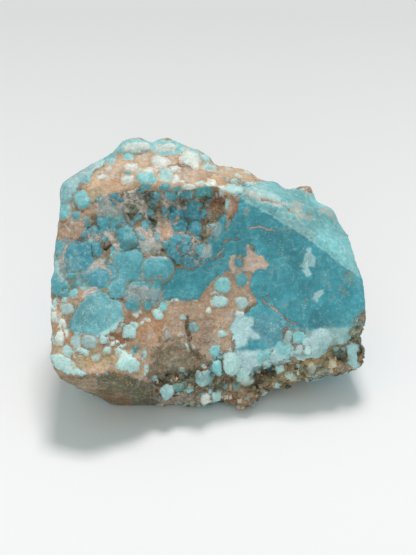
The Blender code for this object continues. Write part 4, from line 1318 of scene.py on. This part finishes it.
def read_points(rows: bpy.types.bpy_prop_collection, name: str) -> np.ndarray:
    """Return a mesh's rows of three numbers, such as its points."""
    flat = np.empty(len(rows) * 3, np.float32)
    rows.foreach_get(name, flat)
    return flat.reshape(-1, 3).astype(float)


def write_points(mesh: bpy.types.Mesh, places: np.ndarray) -> None:
    """Move a mesh's points to places in metres, kept inside the solid's box."""
    places = np.clip(places, np.array(CAD_LOW), np.array(CAD_HIGH))
    mesh.vertices.foreach_set("co", places.astype(np.float32).ravel())
    mesh.update()


class Value:
    """A number in a material, with arithmetic that adds Math nodes."""

    def __init__(self, tree: "Tree", socket: bpy.types.NodeSocket) -> None:
        """Wrap a node's output."""
        self.tree = tree
        self.socket = socket

    def _math(self, operation: str, *inputs: "Number") -> "Value":
        """Return the result of one Math node."""
        node = self.tree.node("ShaderNodeMath", {"operation": operation}, dict(enumerate(inputs)))
        return Value(self.tree, node.outputs[0])

    def __add__(self, other: "Number") -> "Value":
        """Return the sum."""
        return self._math("ADD", self, other)

    def __radd__(self, other: "Number") -> "Value":
        """Return the sum."""
        return self._math("ADD", other, self)

    def __sub__(self, other: "Number") -> "Value":
        """Return the difference."""
        return self._math("SUBTRACT", self, other)

    def __rsub__(self, other: "Number") -> "Value":
        """Return the difference."""
        return self._math("SUBTRACT", other, self)

    def __mul__(self, other: "Number") -> "Value":
        """Return the product."""
        return self._math("MULTIPLY", self, other)

    def __rmul__(self, other: "Number") -> "Value":
        """Return the product."""
        return self._math("MULTIPLY", other, self)

    def __abs__(self) -> "Value":
        """Return the size, without its sign."""
        return self._math("ABSOLUTE", self)

    def __pow__(self, power: float) -> "Value":
        """Return the power."""
        return self._math("POWER", self, power)

    def ramp(self, start: float, end: float, interpolation: str = "SMOOTHSTEP") -> "Value":
        """Return a rise from 0 to 1 as the value goes from start to end.

        Args:
            start: where the rise starts.
            end: where it ends.
            interpolation: how it rises.

        Returns:
            The value on the rise.
        """
        node = self.tree.node(
            "ShaderNodeMapRange",
            {"interpolation_type": interpolation},
            {"Value": self, "From Min": start, "From Max": end},
        )
        return Value(self.tree, node.outputs["Result"])


Number = Value | float
Input = Value | bpy.types.NodeSocket | float | tuple | str
Colour = tuple[float, float, float, float]


class Tree:
    """A node tree that is written as expressions."""

    def __init__(self, tree: bpy.types.NodeTree) -> None:
        """Take an empty tree, or clear it."""
        self.tree = tree
        tree.nodes.clear()

    def node(
        self, kind: str, settings: dict[str, object], inputs: dict[str | int, Input]
    ) -> bpy.types.Node:
        """Add a node.

        Args:
            kind: the node's type.
            settings: what is set on the node itself, first.
            inputs: the values or links of its sockets, by name or number.

        Returns:
            The node.
        """
        node = self.tree.nodes.new(kind)
        for name, setting in settings.items():
            setattr(node, name, setting)
        for name, given in inputs.items():
            socket = node.inputs[name]
            if isinstance(given, Value):
                given = given.socket
            if isinstance(given, bpy.types.NodeSocket):
                self.tree.links.new(given, socket)
            else:
                socket.default_value = given
        return node

    def vector(self, operation: str, *inputs: Input) -> bpy.types.NodeSocket:
        """Return the result of one Vector Math node."""
        settings = {"operation": operation}
        return self.node("ShaderNodeVectorMath", settings, dict(enumerate(inputs))).outputs[0]

    def scaled(self, vector: Input, factor: Number) -> bpy.types.NodeSocket:
        """Return a colour or a vector times a number."""
        inputs = {0: vector, "Scale": factor}
        return self.node("ShaderNodeVectorMath", {"operation": "SCALE"}, inputs).outputs[0]

    def place(self) -> bpy.types.NodeSocket:
        """Return the place on the piece, in metres."""
        return self.node("ShaderNodeTexCoord", {}, {}).outputs["Object"]

    def stored(self, name: str) -> bpy.types.bpy_prop_collection:
        """Return the outputs of what is stored at the skin's points."""
        return self.node("ShaderNodeAttribute", {"attribute_name": name}, {}).outputs

    def layer(self, name: str) -> Value:
        """Return a number that is stored at the skin's points."""
        return Value(self, self.stored(name)["Fac"])

    def noise(
        self, where: bpy.types.NodeSocket, waves: float, detail: float, rough: float = 0.55
    ) -> Value:
        """Return noise, from 0 to 1 and mostly near the middle.

        Args:
            where: the coordinates, in millimetres.
            waves: how many waves a millimetre has.
            detail: how many finer waves lie over them.
            rough: how strong the finer waves are.

        Returns:
            The noise.
        """
        inputs = {"Vector": where, "Scale": waves, "Detail": detail, "Roughness": rough}
        return Value(self, self.node("ShaderNodeTexNoise", {}, inputs).outputs["Fac"])

    def mix(self, share: Number, first: Input, second: Input) -> bpy.types.NodeSocket:
        """Return a colour between two others."""
        inputs = {"Factor": share, 6: first, 7: second}
        return self.node("ShaderNodeMix", {"data_type": "RGBA"}, inputs).outputs[2]

    def surface(self, inputs: dict[str, Input]) -> None:
        """End a material in a Principled shader with these inputs."""
        shader = self.node("ShaderNodeBsdfPrincipled", {}, inputs)
        self.node("ShaderNodeOutputMaterial", {}, {"Surface": shader.outputs[0]})


def make_material(name: str) -> tuple[bpy.types.Material, Tree]:
    """Return a new material and its empty tree."""
    material = bpy.data.materials.new(name)
    material.use_nodes = True
    return material, Tree(material.node_tree)


@dataclass(frozen=True)
class Spot:
    """What the stone's material knows of a place.

    where: the place on the stone, in millimetres.
    rim: how deep it lies inside its nodule, below 0 in host rock.
    broad, middle, fine: the noises that all colours share.
    """

    tree: Tree
    where: bpy.types.NodeSocket
    rim: Value
    broad: Value
    middle: Value
    fine: Value

    def tone(self, least: float, broad: float, middle: float, fine: float) -> Value:
        """Return how light a colour is: a least value and a share of each noise."""
        return least + self.broad * broad + self.middle * middle + self.fine * fine


@dataclass(frozen=True)
class Fleck:
    """Flecks of another colour.

    colour: their colour. cover: how far they hide what is below.
    waves, detail, rough: the noise that they follow.
    start, end: the levels of noise that they come and go between.
    in_grit: whether they keep to rough and grainy places.
    """

    colour: Colour
    cover: float
    waves: float
    detail: float
    start: float
    end: float
    rough: float = 0.55
    in_grit: bool = False

    def level(self, spot: Spot) -> Value:
        """Return how strongly they show at a place."""
        level = spot.tree.noise(spot.where, self.waves, self.detail, self.rough)
        return level.ramp(self.start, self.end)


@dataclass(frozen=True)
class Hairline(Fleck):
    """Thin wandering lines, their width a share of a wave of their noise."""

    width: float = 0.01

    def line(self, spot: Spot, where: Value) -> Value:
        """Return how strongly they show at a place, where another noise lets them."""
        level = abs(spot.tree.noise(spot.where, self.waves, self.detail) - 0.5)
        return level.ramp(self.width, 0.0) * where.ramp(self.start, self.end)


@dataclass(frozen=True)
class StoneMaterial:
    """The stone's material: nodules and host rock with a crisp edge between.

    noises: the waves a millimetre and the detail of the broad, the middle and
        the fine noise.
    fray: how far they move an edge. edge: half its width, both in millimetres.
    stone_gloss, ground_gloss, gloss_play: the roughness of nodules and of host
        rock, and how much it differs.
    specular: how strongly both reflect.
    step: how far nodules stand up from host rock, in millimetres.
    stone_bumps, ground_bumps: how far fine and middle noise raise each.
    stone_tone, ground_tone: how light each is: a least value, and a share of
        the broad, the middle and the fine noise.
    rim_shade, rim_width: how much darker a nodule is painted at its rim, as painted shade, and how
    far in.
    frost, rim_frost: the mottling of nodules, and how strong it is at the rim.
    frost_grain, frost_rim: the levels of fine noise that it breaks up between,
        and the depths of the rim that it whitens.
    crack, scratch: the fine lines of nodules.
    flecks: the flecks of host rock, in order.
    seam_colour, seam_cover: the dark line of host rock beside a nodule.
    seam_outer, seam_inner, seam_gaps: the depths that it comes and goes between,
        and the levels of middle noise that leave gaps in it.
    """

    noises: tuple[tuple[float, float], ...] = ((0.3, 3.0), (1.1, 3.0), (3.2, 2.0))
    fray: float = 0.5
    edge: float = 0.18
    stone_gloss: float = 0.5
    ground_gloss: float = 0.88
    gloss_play: float = 0.25
    specular: float = 0.4
    step: float = 0.1
    stone_bumps: tuple[float, float] = (0.1, 0.16)
    ground_bumps: tuple[float, float] = (0.5, 0.45)
    stone_tone: tuple[float, float, float, float] = (0.12, 0.55, 0.65, 0.6)
    ground_tone: tuple[float, float, float, float] = (-0.1, 0.5, 0.8, 0.8)
    rim_shade: float = 0.14
    rim_width: float = 0.55
    frost: Fleck = Fleck((0.66, 0.82, 0.8, 1.0), 0.8, 0.55, 4.0, 0.5, 0.66, 0.7)
    rim_frost: float = 0.25
    frost_grain: tuple[float, float] = (0.4, 0.62)
    frost_rim: tuple[float, float] = (0.6, 0.1)
    crack: Hairline = Hairline((0.55, 0.36, 0.22, 1.0), 0.4, 0.2, 3.0, 0.47, 0.56, width=0.014)
    scratch: Hairline = Hairline((0.62, 0.78, 0.77, 1.0), 0.5, 0.33, 4.0, 0.5, 0.6, width=0.012)
    flecks: tuple[Fleck, ...] = (
        Fleck((0.45, 0.22, 0.1, 1.0), 0.5, 0.8, 3.0, 0.5, 0.62, 0.6, in_grit=True),
        Fleck((0.34, 0.55, 0.5, 1.0), 0.3, 1.5, 2.0, 0.57, 0.64),
        Fleck((0.76, 0.7, 0.6, 1.0), 0.35, 2.6, 2.0, 0.6, 0.67),
        Fleck((0.06, 0.045, 0.03, 1.0), 0.7, 1.9, 3.0, 0.58, 0.68, in_grit=True),
    )
    seam_colour: Colour = (0.4, 0.21, 0.1, 1.0)
    seam_cover: float = 0.5
    seam_outer: tuple[float, float] = (-0.75, -0.2)
    seam_inner: tuple[float, float] = (-0.1, -0.25)
    seam_gaps: tuple[float, float] = (0.38, 0.56)

    def build(self) -> bpy.types.Material:
        """Return the material."""
        material, tree = make_material("nugget_stone")
        where = tree.scaled(tree.place(), 1.0 / MM)
        broad, middle, fine = (tree.noise(where, *wave) for wave in self.noises)
        rim = tree.layer("rim") + (fine - 0.5) * self.fray + (middle - 0.5) * self.fray
        body = rim.ramp(-self.edge, self.edge)
        grit = tree.layer("grit")
        spot = Spot(tree, where, rim, broad, middle, fine)
        rough = fine * self.ground_bumps[0] + middle * self.ground_bumps[1]
        height = body * self.step + (1.0 - body) * grit * rough
        height = height + body * (fine - 0.5) * self.stone_bumps[0]
        height = height + body * (middle - 0.5) * self.stone_bumps[1]
        bump = tree.node("ShaderNodeBump", {}, {"Strength": 1.0, "Distance": MM, "Height": height})
        gloss = body * (self.stone_gloss - self.ground_gloss) + self.ground_gloss
        tree.surface({
            "Base Color": tree.mix(body, self._ground_colour(spot, grit), self._stone_colour(spot)),
            "Roughness": gloss + (middle - 0.5) * self.gloss_play,
            "Metallic": 0.0,
            "Specular IOR Level": self.specular,
            "Normal": bump.outputs["Normal"],
        })
        return material

    def _stone_colour(self, spot: Spot) -> bpy.types.NodeSocket:
        """Return the colour of the nodules at a place."""
        tree, rim = spot.tree, spot.rim
        chalk = tree.layer("chalk")
        # Painted shade: each nodule is darker towards its rim.
        tone = spot.tone(*self.stone_tone) - rim.ramp(self.rim_width, 0.0) * self.rim_shade
        colour = tree.scaled(tree.stored("stone")["Color"], tone)
        mottle = self.frost.level(spot) * spot.fine.ramp(*self.frost_grain)
        pale = chalk * mottle + chalk * rim.ramp(*self.frost_rim) * self.rim_frost
        colour = tree.mix(pale * self.frost.cover, colour, self.frost.colour)
        for line, noise in ((self.crack, spot.broad), (self.scratch, spot.middle)):
            colour = tree.mix(line.line(spot, noise) * line.cover, colour, line.colour)
        return colour

    def _ground_colour(self, spot: Spot, grit: Value) -> bpy.types.NodeSocket:
        """Return the colour of the host rock at a place."""
        tree, rim = spot.tree, spot.rim
        colour = tree.scaled(tree.stored("ground")["Color"], spot.tone(*self.ground_tone))
        for fleck in self.flecks:
            cover = fleck.level(spot) * grit if fleck.in_grit else fleck.level(spot)
            colour = tree.mix(cover * fleck.cover, colour, fleck.colour)
        line = rim.ramp(*self.seam_outer) * rim.ramp(*self.seam_inner)
        line = line * spot.middle.ramp(*self.seam_gaps)
        return tree.mix(line * self.seam_cover, colour, self.seam_colour)


@dataclass(frozen=True)
class CrustGrains:
    """The loose grains of the crust, grown wherever the stone crumbles.

    crowd: how many grains a square millimetre of full crust may have.
    gap: the least distance between two grains' middles, in millimetres.
    sizes: the smallest and the largest grain's width, in millimetres.
    shapes: how many shapes of grain there are.
    block: a grain's length, width and height before it is bent, as shares of its width.
    cuts: how many points an edge of a grain has before it is bent.
    waves: how many waves bend it. rounding: how far it is rounded.
    seed: the seed of everything random.
    dirt: how much of the host rock's own colour a grain takes on.
    darkest, lighter: how dark the darkest grain is, and how much lighter others are.
    shades: how quickly the grains change from light to dark, from one to the next.
    rim, grit: what the material takes every grain for.
    kinds: what the grains are, each as often as it is named.
    """

    crowd: float = 0.55
    gap: float = 0.7
    sizes: tuple[float, float] = (0.4, 1.7)
    shapes: int = 3
    block: tuple[float, float, float] = (1.0, 0.8, 0.65)
    cuts: int = 3
    waves: float = 1.7
    rounding: float = 0.25
    seed: int = 17
    dirt: float = 0.25
    darkest: float = 0.65
    lighter: float = 0.8
    shades: float = 97.0
    rim: float = -1.0
    grit: float = 0.35
    kinds: tuple[Kind, ...] = (
        GOLD, TAN, GOLD, OLIVE, CLAY, UMBER,
        OLIVE, SAND, MOSS, DRAB, CLAY, FROST,
    )

    def build(self, stone: bpy.types.Object) -> bpy.types.Object:
        """Build the grains.

        Args:
            stone: the dressed stone that they grow on.

        Returns:
            The grains, as one plain mesh in place.
        """
        grains = show(bpy.data.objects.new("nugget_grains", stone.data))
        modifier = grains.modifiers.new("grains", "NODES")
        modifier.node_group = bpy.data.node_groups.new("grow_grains", "GeometryNodeTree")
        inputs = {
            "Crowd": ("Float", self.crowd / MM**2),
            "Gap": ("Float", self.gap * MM),
            "Smallest": ("Float", self.sizes[0] * MM),
            "Largest": ("Float", self.sizes[1] * MM),
            "Seed": ("Int", self.seed),
            "Material": ("Material", stone.data.materials[0]),
        }
        face = modifier.node_group.interface
        for way in ("INPUT", "OUTPUT"):
            face.new_socket("Geometry", in_out=way, socket_type="NodeSocketGeometry")
        for name, (kind, value) in inputs.items():
            socket = face.new_socket(name, in_out="INPUT", socket_type="NodeSocket" + kind)
            modifier[socket.identifier] = value
        self._grow(Tree(modifier.node_group))
        graph = bpy.context.evaluated_depsgraph_get()
        mesh = bpy.data.meshes.new_from_object(grains.evaluated_get(graph))
        grains.modifiers.remove(modifier)
        grains.data = mesh
        self._paint(mesh)
        return grains

    def _grow(self, tree: Tree) -> None:
        """Write the nodes that scatter the grains."""
        given = tree.node("NodeGroupInput", {}, {}).outputs
        seed = {"Seed": given["Seed"]}
        number = {"data_type": "FLOAT"}
        crust = tree.node("GeometryNodeInputNamedAttribute", number, {"Name": "crust"})
        points = tree.node(
            "GeometryNodeDistributePointsOnFaces",
            {"distribute_method": "POISSON"},
            {
                "Mesh": given["Geometry"],
                "Distance Min": given["Gap"],
                "Density Max": given["Crowd"],
                "Density Factor": crust.outputs[0],
                **seed,
            },
        )
        turn = tree.node(
            "FunctionNodeRandomValue",
            {"data_type": "FLOAT_VECTOR"},
            {0: (0.0,) * 3, 1: (math.tau,) * 3, **seed},
        )
        size = tree.node(
            "FunctionNodeRandomValue", number, {2: given["Smallest"], 3: given["Largest"], **seed}
        )
        own = tree.node("FunctionNodeRandomValue", number, {"Seed": self.seed})
        placed = tree.node(
            "GeometryNodeInstanceOnPoints",
            {},
            {
                "Points": points.outputs["Points"],
                "Instance": self._shapes(tree),
                "Pick Instance": True,
                "Rotation": turn.outputs[0],
                "Scale": size.outputs[1],
            },
        )
        marked = tree.node(
            "GeometryNodeStoreNamedAttribute",
            {"data_type": "FLOAT", "domain": "INSTANCE"},
            {"Geometry": placed.outputs[0], "Name": "own", "Value": own.outputs[1]},
        )
        real = tree.node("GeometryNodeRealizeInstances", {}, {"Geometry": marked.outputs[0]})
        inputs = {"Geometry": real.outputs[0], "Material": given["Material"]}
        dressed = tree.node("GeometryNodeSetMaterial", {}, inputs)
        tree.node("NodeGroupOutput", {}, {"Geometry": dressed.outputs[0]})

    def _shapes(self, tree: Tree) -> bpy.types.NodeSocket:
        """Write the nodes that make one grain of each shape, one unit wide."""
        gathered = tree.node("GeometryNodeGeometryToInstance", {}, {})
        place = tree.node("GeometryNodeInputPosition", {}, {}).outputs[0]
        cuts = {f"Vertices {axis}": self.cuts for axis in "XYZ"}
        for number in range(self.shapes):
            block = tree.node("GeometryNodeMeshCube", {}, {"Size": self.block, **cuts})
            moved = tree.vector("ADD", place, (float(self.seed + number),) * 3)
            noise = tree.node("ShaderNodeTexNoise", {}, {"Vector": moved, "Scale": self.waves})
            drift = tree.vector("SUBTRACT", noise.outputs["Color"], (0.5,) * 3)
            rounded = tree.vector("MULTIPLY_ADD", place, (-self.rounding,) * 3, drift)
            inputs = {"Geometry": block.outputs["Mesh"], "Offset": rounded}
            grain = tree.node("GeometryNodeSetPosition", {}, inputs)
            tree.tree.links.new(grain.outputs[0], gathered.inputs[0])
        return gathered.outputs[0]

    def _paint(self, mesh: bpy.types.Mesh) -> None:
        """Give each grain a colour of its own, and keep it inside the solid's box."""
        layers = mesh.attributes
        own = np.empty(len(mesh.vertices), np.float32)
        layers["own"].data.foreach_get("value", own)
        rock = np.empty(len(own) * 4, np.float32)
        layers["ground"].data.foreach_get("color", rock)
        rows = rock.reshape(-1, 4)
        rows[:, :3] += (pick_lights(self.kinds, own) - rows[:, :3]) * (1.0 - self.dirt)
        rows[:, :3] *= (self.darkest + self.lighter * (own * self.shades % 1.0))[:, None]
        rows[:, :3] = np.minimum(rows[:, :3], 1.0)
        layers["ground"].data.foreach_set("color", rows.ravel())
        for name, value in (("rim", self.rim), ("grit", self.grit)):
            layers[name].data.foreach_set("value", np.full(len(own), value, np.float32))
        for name in ("own", "crust"):
            layers.remove(layers[name])
        write_points(mesh, read_points(mesh.vertices, "co"))


@dataclass(frozen=True)
class Lamp:
    """A soft square light that points at the stone.

    name: what it is called. place: where it hangs, in metres.
    size: the length of its sides, in metres. power: how strong it is, in watts.
    colour: its colour, in linear light.
    """

    name: str
    place: tuple[float, float, float]
    size: float
    power: float
    colour: tuple[float, float, float]

    def hang(self) -> None:
        """Hang the light."""
        data = bpy.data.lights.new(self.name, "AREA")
        data.size = self.size
        data.energy = self.power
        data.color = self.colour
        lamp = show(bpy.data.objects.new(self.name, data))
        lamp.location = self.place
        point(lamp, (CAD_LOW + CAD_HIGH) / 2.0 - lamp.location)


@dataclass(frozen=True)
class Studio:
    """The pale floor, the soft lights and the camera.

    face: the broken face, which the camera looks at square on.
    pixel: the size of one picture point at the face, in metres.
    reach: the nearest and the farthest that the camera sees, in metres.
    floor_size: the length of the floor's sides, in metres.
    floor_colour: its colour, as a painter mixes it.
    floor_gloss, floor_specular: its roughness, and how strongly it reflects.
    dusk: the depths between which the floor is painted darker towards the
    back, as painted shade, and how much. dusk_bend: how late it does.
    lamps: the two lights. sky, sky_colour: the even light from all sides.
    """

    face: Face
    pixel: float = 0.2516e-3
    reach: tuple[float, float] = (0.01, 20.0)
    floor_size: float = 6.0
    floor_colour: tuple[int, int, int] = (243, 243, 243)
    floor_gloss: float = 0.9
    floor_specular: float = 0.2
    dusk: tuple[float, float, float] = (-0.06, 0.145, 0.28)
    dusk_bend: float = 1.5
    lamps: tuple[Lamp, ...] = (
        Lamp("key", (0.092, 0.75, 1.62), 0.49, 20.5, (1.0, 0.92, 0.92)),
        Lamp("fill", (-0.1, -1.23, 0.5), 1.0, 2.4, (0.88, 1.0, 0.99)),
    )
    sky: float = 0.507
    sky_colour: Colour = (0.88, 1.0, 0.99, 1.0)

    def build(self) -> None:
        """Build the floor, lights and camera."""
        self._floor()
        for lamp in self.lamps:
            lamp.hang()
        self._world()
        self._camera()
        bpy.context.scene.view_settings.view_transform = "Standard"

    def _floor(self) -> None:
        """Lay the floor."""
        mesh = bmesh.new()
        half = self.floor_size / 2.0
        corners = [(-half, -half), (half, -half), (half, half), (-half, half)]
        mesh.faces.new([mesh.verts.new((x, y, 0.0)) for x, y in corners])
        floor = make_object("studio_floor", mesh)
        material, tree = make_material("studio_floor")
        place = tree.node("ShaderNodeSeparateXYZ", {}, {0: tree.place()})
        # Painted shade: the floor's colour darkens towards the back.
        away = Value(tree, place.outputs["Y"]).ramp(*self.dusk[:2], "LINEAR")
        light = away**self.dusk_bend * -self.dusk[2] + 1.0
        tree.surface({
            "Base Color": tree.scaled((*Finish(self.floor_colour).light(),), light),
            "Roughness": self.floor_gloss,
            "Specular IOR Level": self.floor_specular,
        })
        floor.data.materials.append(material)

    def _world(self) -> None:
        """Light the room evenly from all sides."""
        world = bpy.data.worlds.new("studio")
        world.use_nodes = True
        bpy.context.scene.world = world
        sky = world.node_tree.nodes["Background"]
        sky.inputs["Color"].default_value = self.sky_colour
        sky.inputs["Strength"].default_value = self.sky

    def _camera(self) -> None:
        """Set the camera square to the face."""
        data = bpy.data.cameras.new("camera")
        camera = show(bpy.data.objects.new("camera", data))
        distance = self.face.view_distance * MM
        data.lens = data.sensor_width * distance / (IMAGE_HEIGHT * self.pixel)
        data.clip_start, data.clip_end = self.reach
        deep = Vector(self.face.axes()[2])
        aim = Vector(self.face.in_stone((0.0, self.face.aim_up, self.face.aim_deep))) * MM
        camera.location = aim - deep * distance
        point(camera, deep)
        bpy.context.scene.camera = camera


def point(made: bpy.types.Object, way: Vector) -> None:
    """Turn a light or a camera to look a way."""
    made.rotation_mode = "QUATERNION"
    made.rotation_quaternion = way.to_track_quat("-Z", "Y")


def main() -> None:
    """Build the stone and its studio."""
    logging.basicConfig(level=logging.INFO, format="%(message)s")
    face = Face()
    Studio(face).build()
    stone = Nugget(Skin(), face).build()
    grains = CrustGrains().build(stone)
    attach(stone, "root")
    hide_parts("nugget")
    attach(grains, "root")
    for piece in (stone, grains):
        points, sides = len(piece.data.vertices), len(piece.data.polygons)
        LOG.info("%s: %d points, %d sides", piece.name, points, sides)


if __name__ == "__main__":
    main()
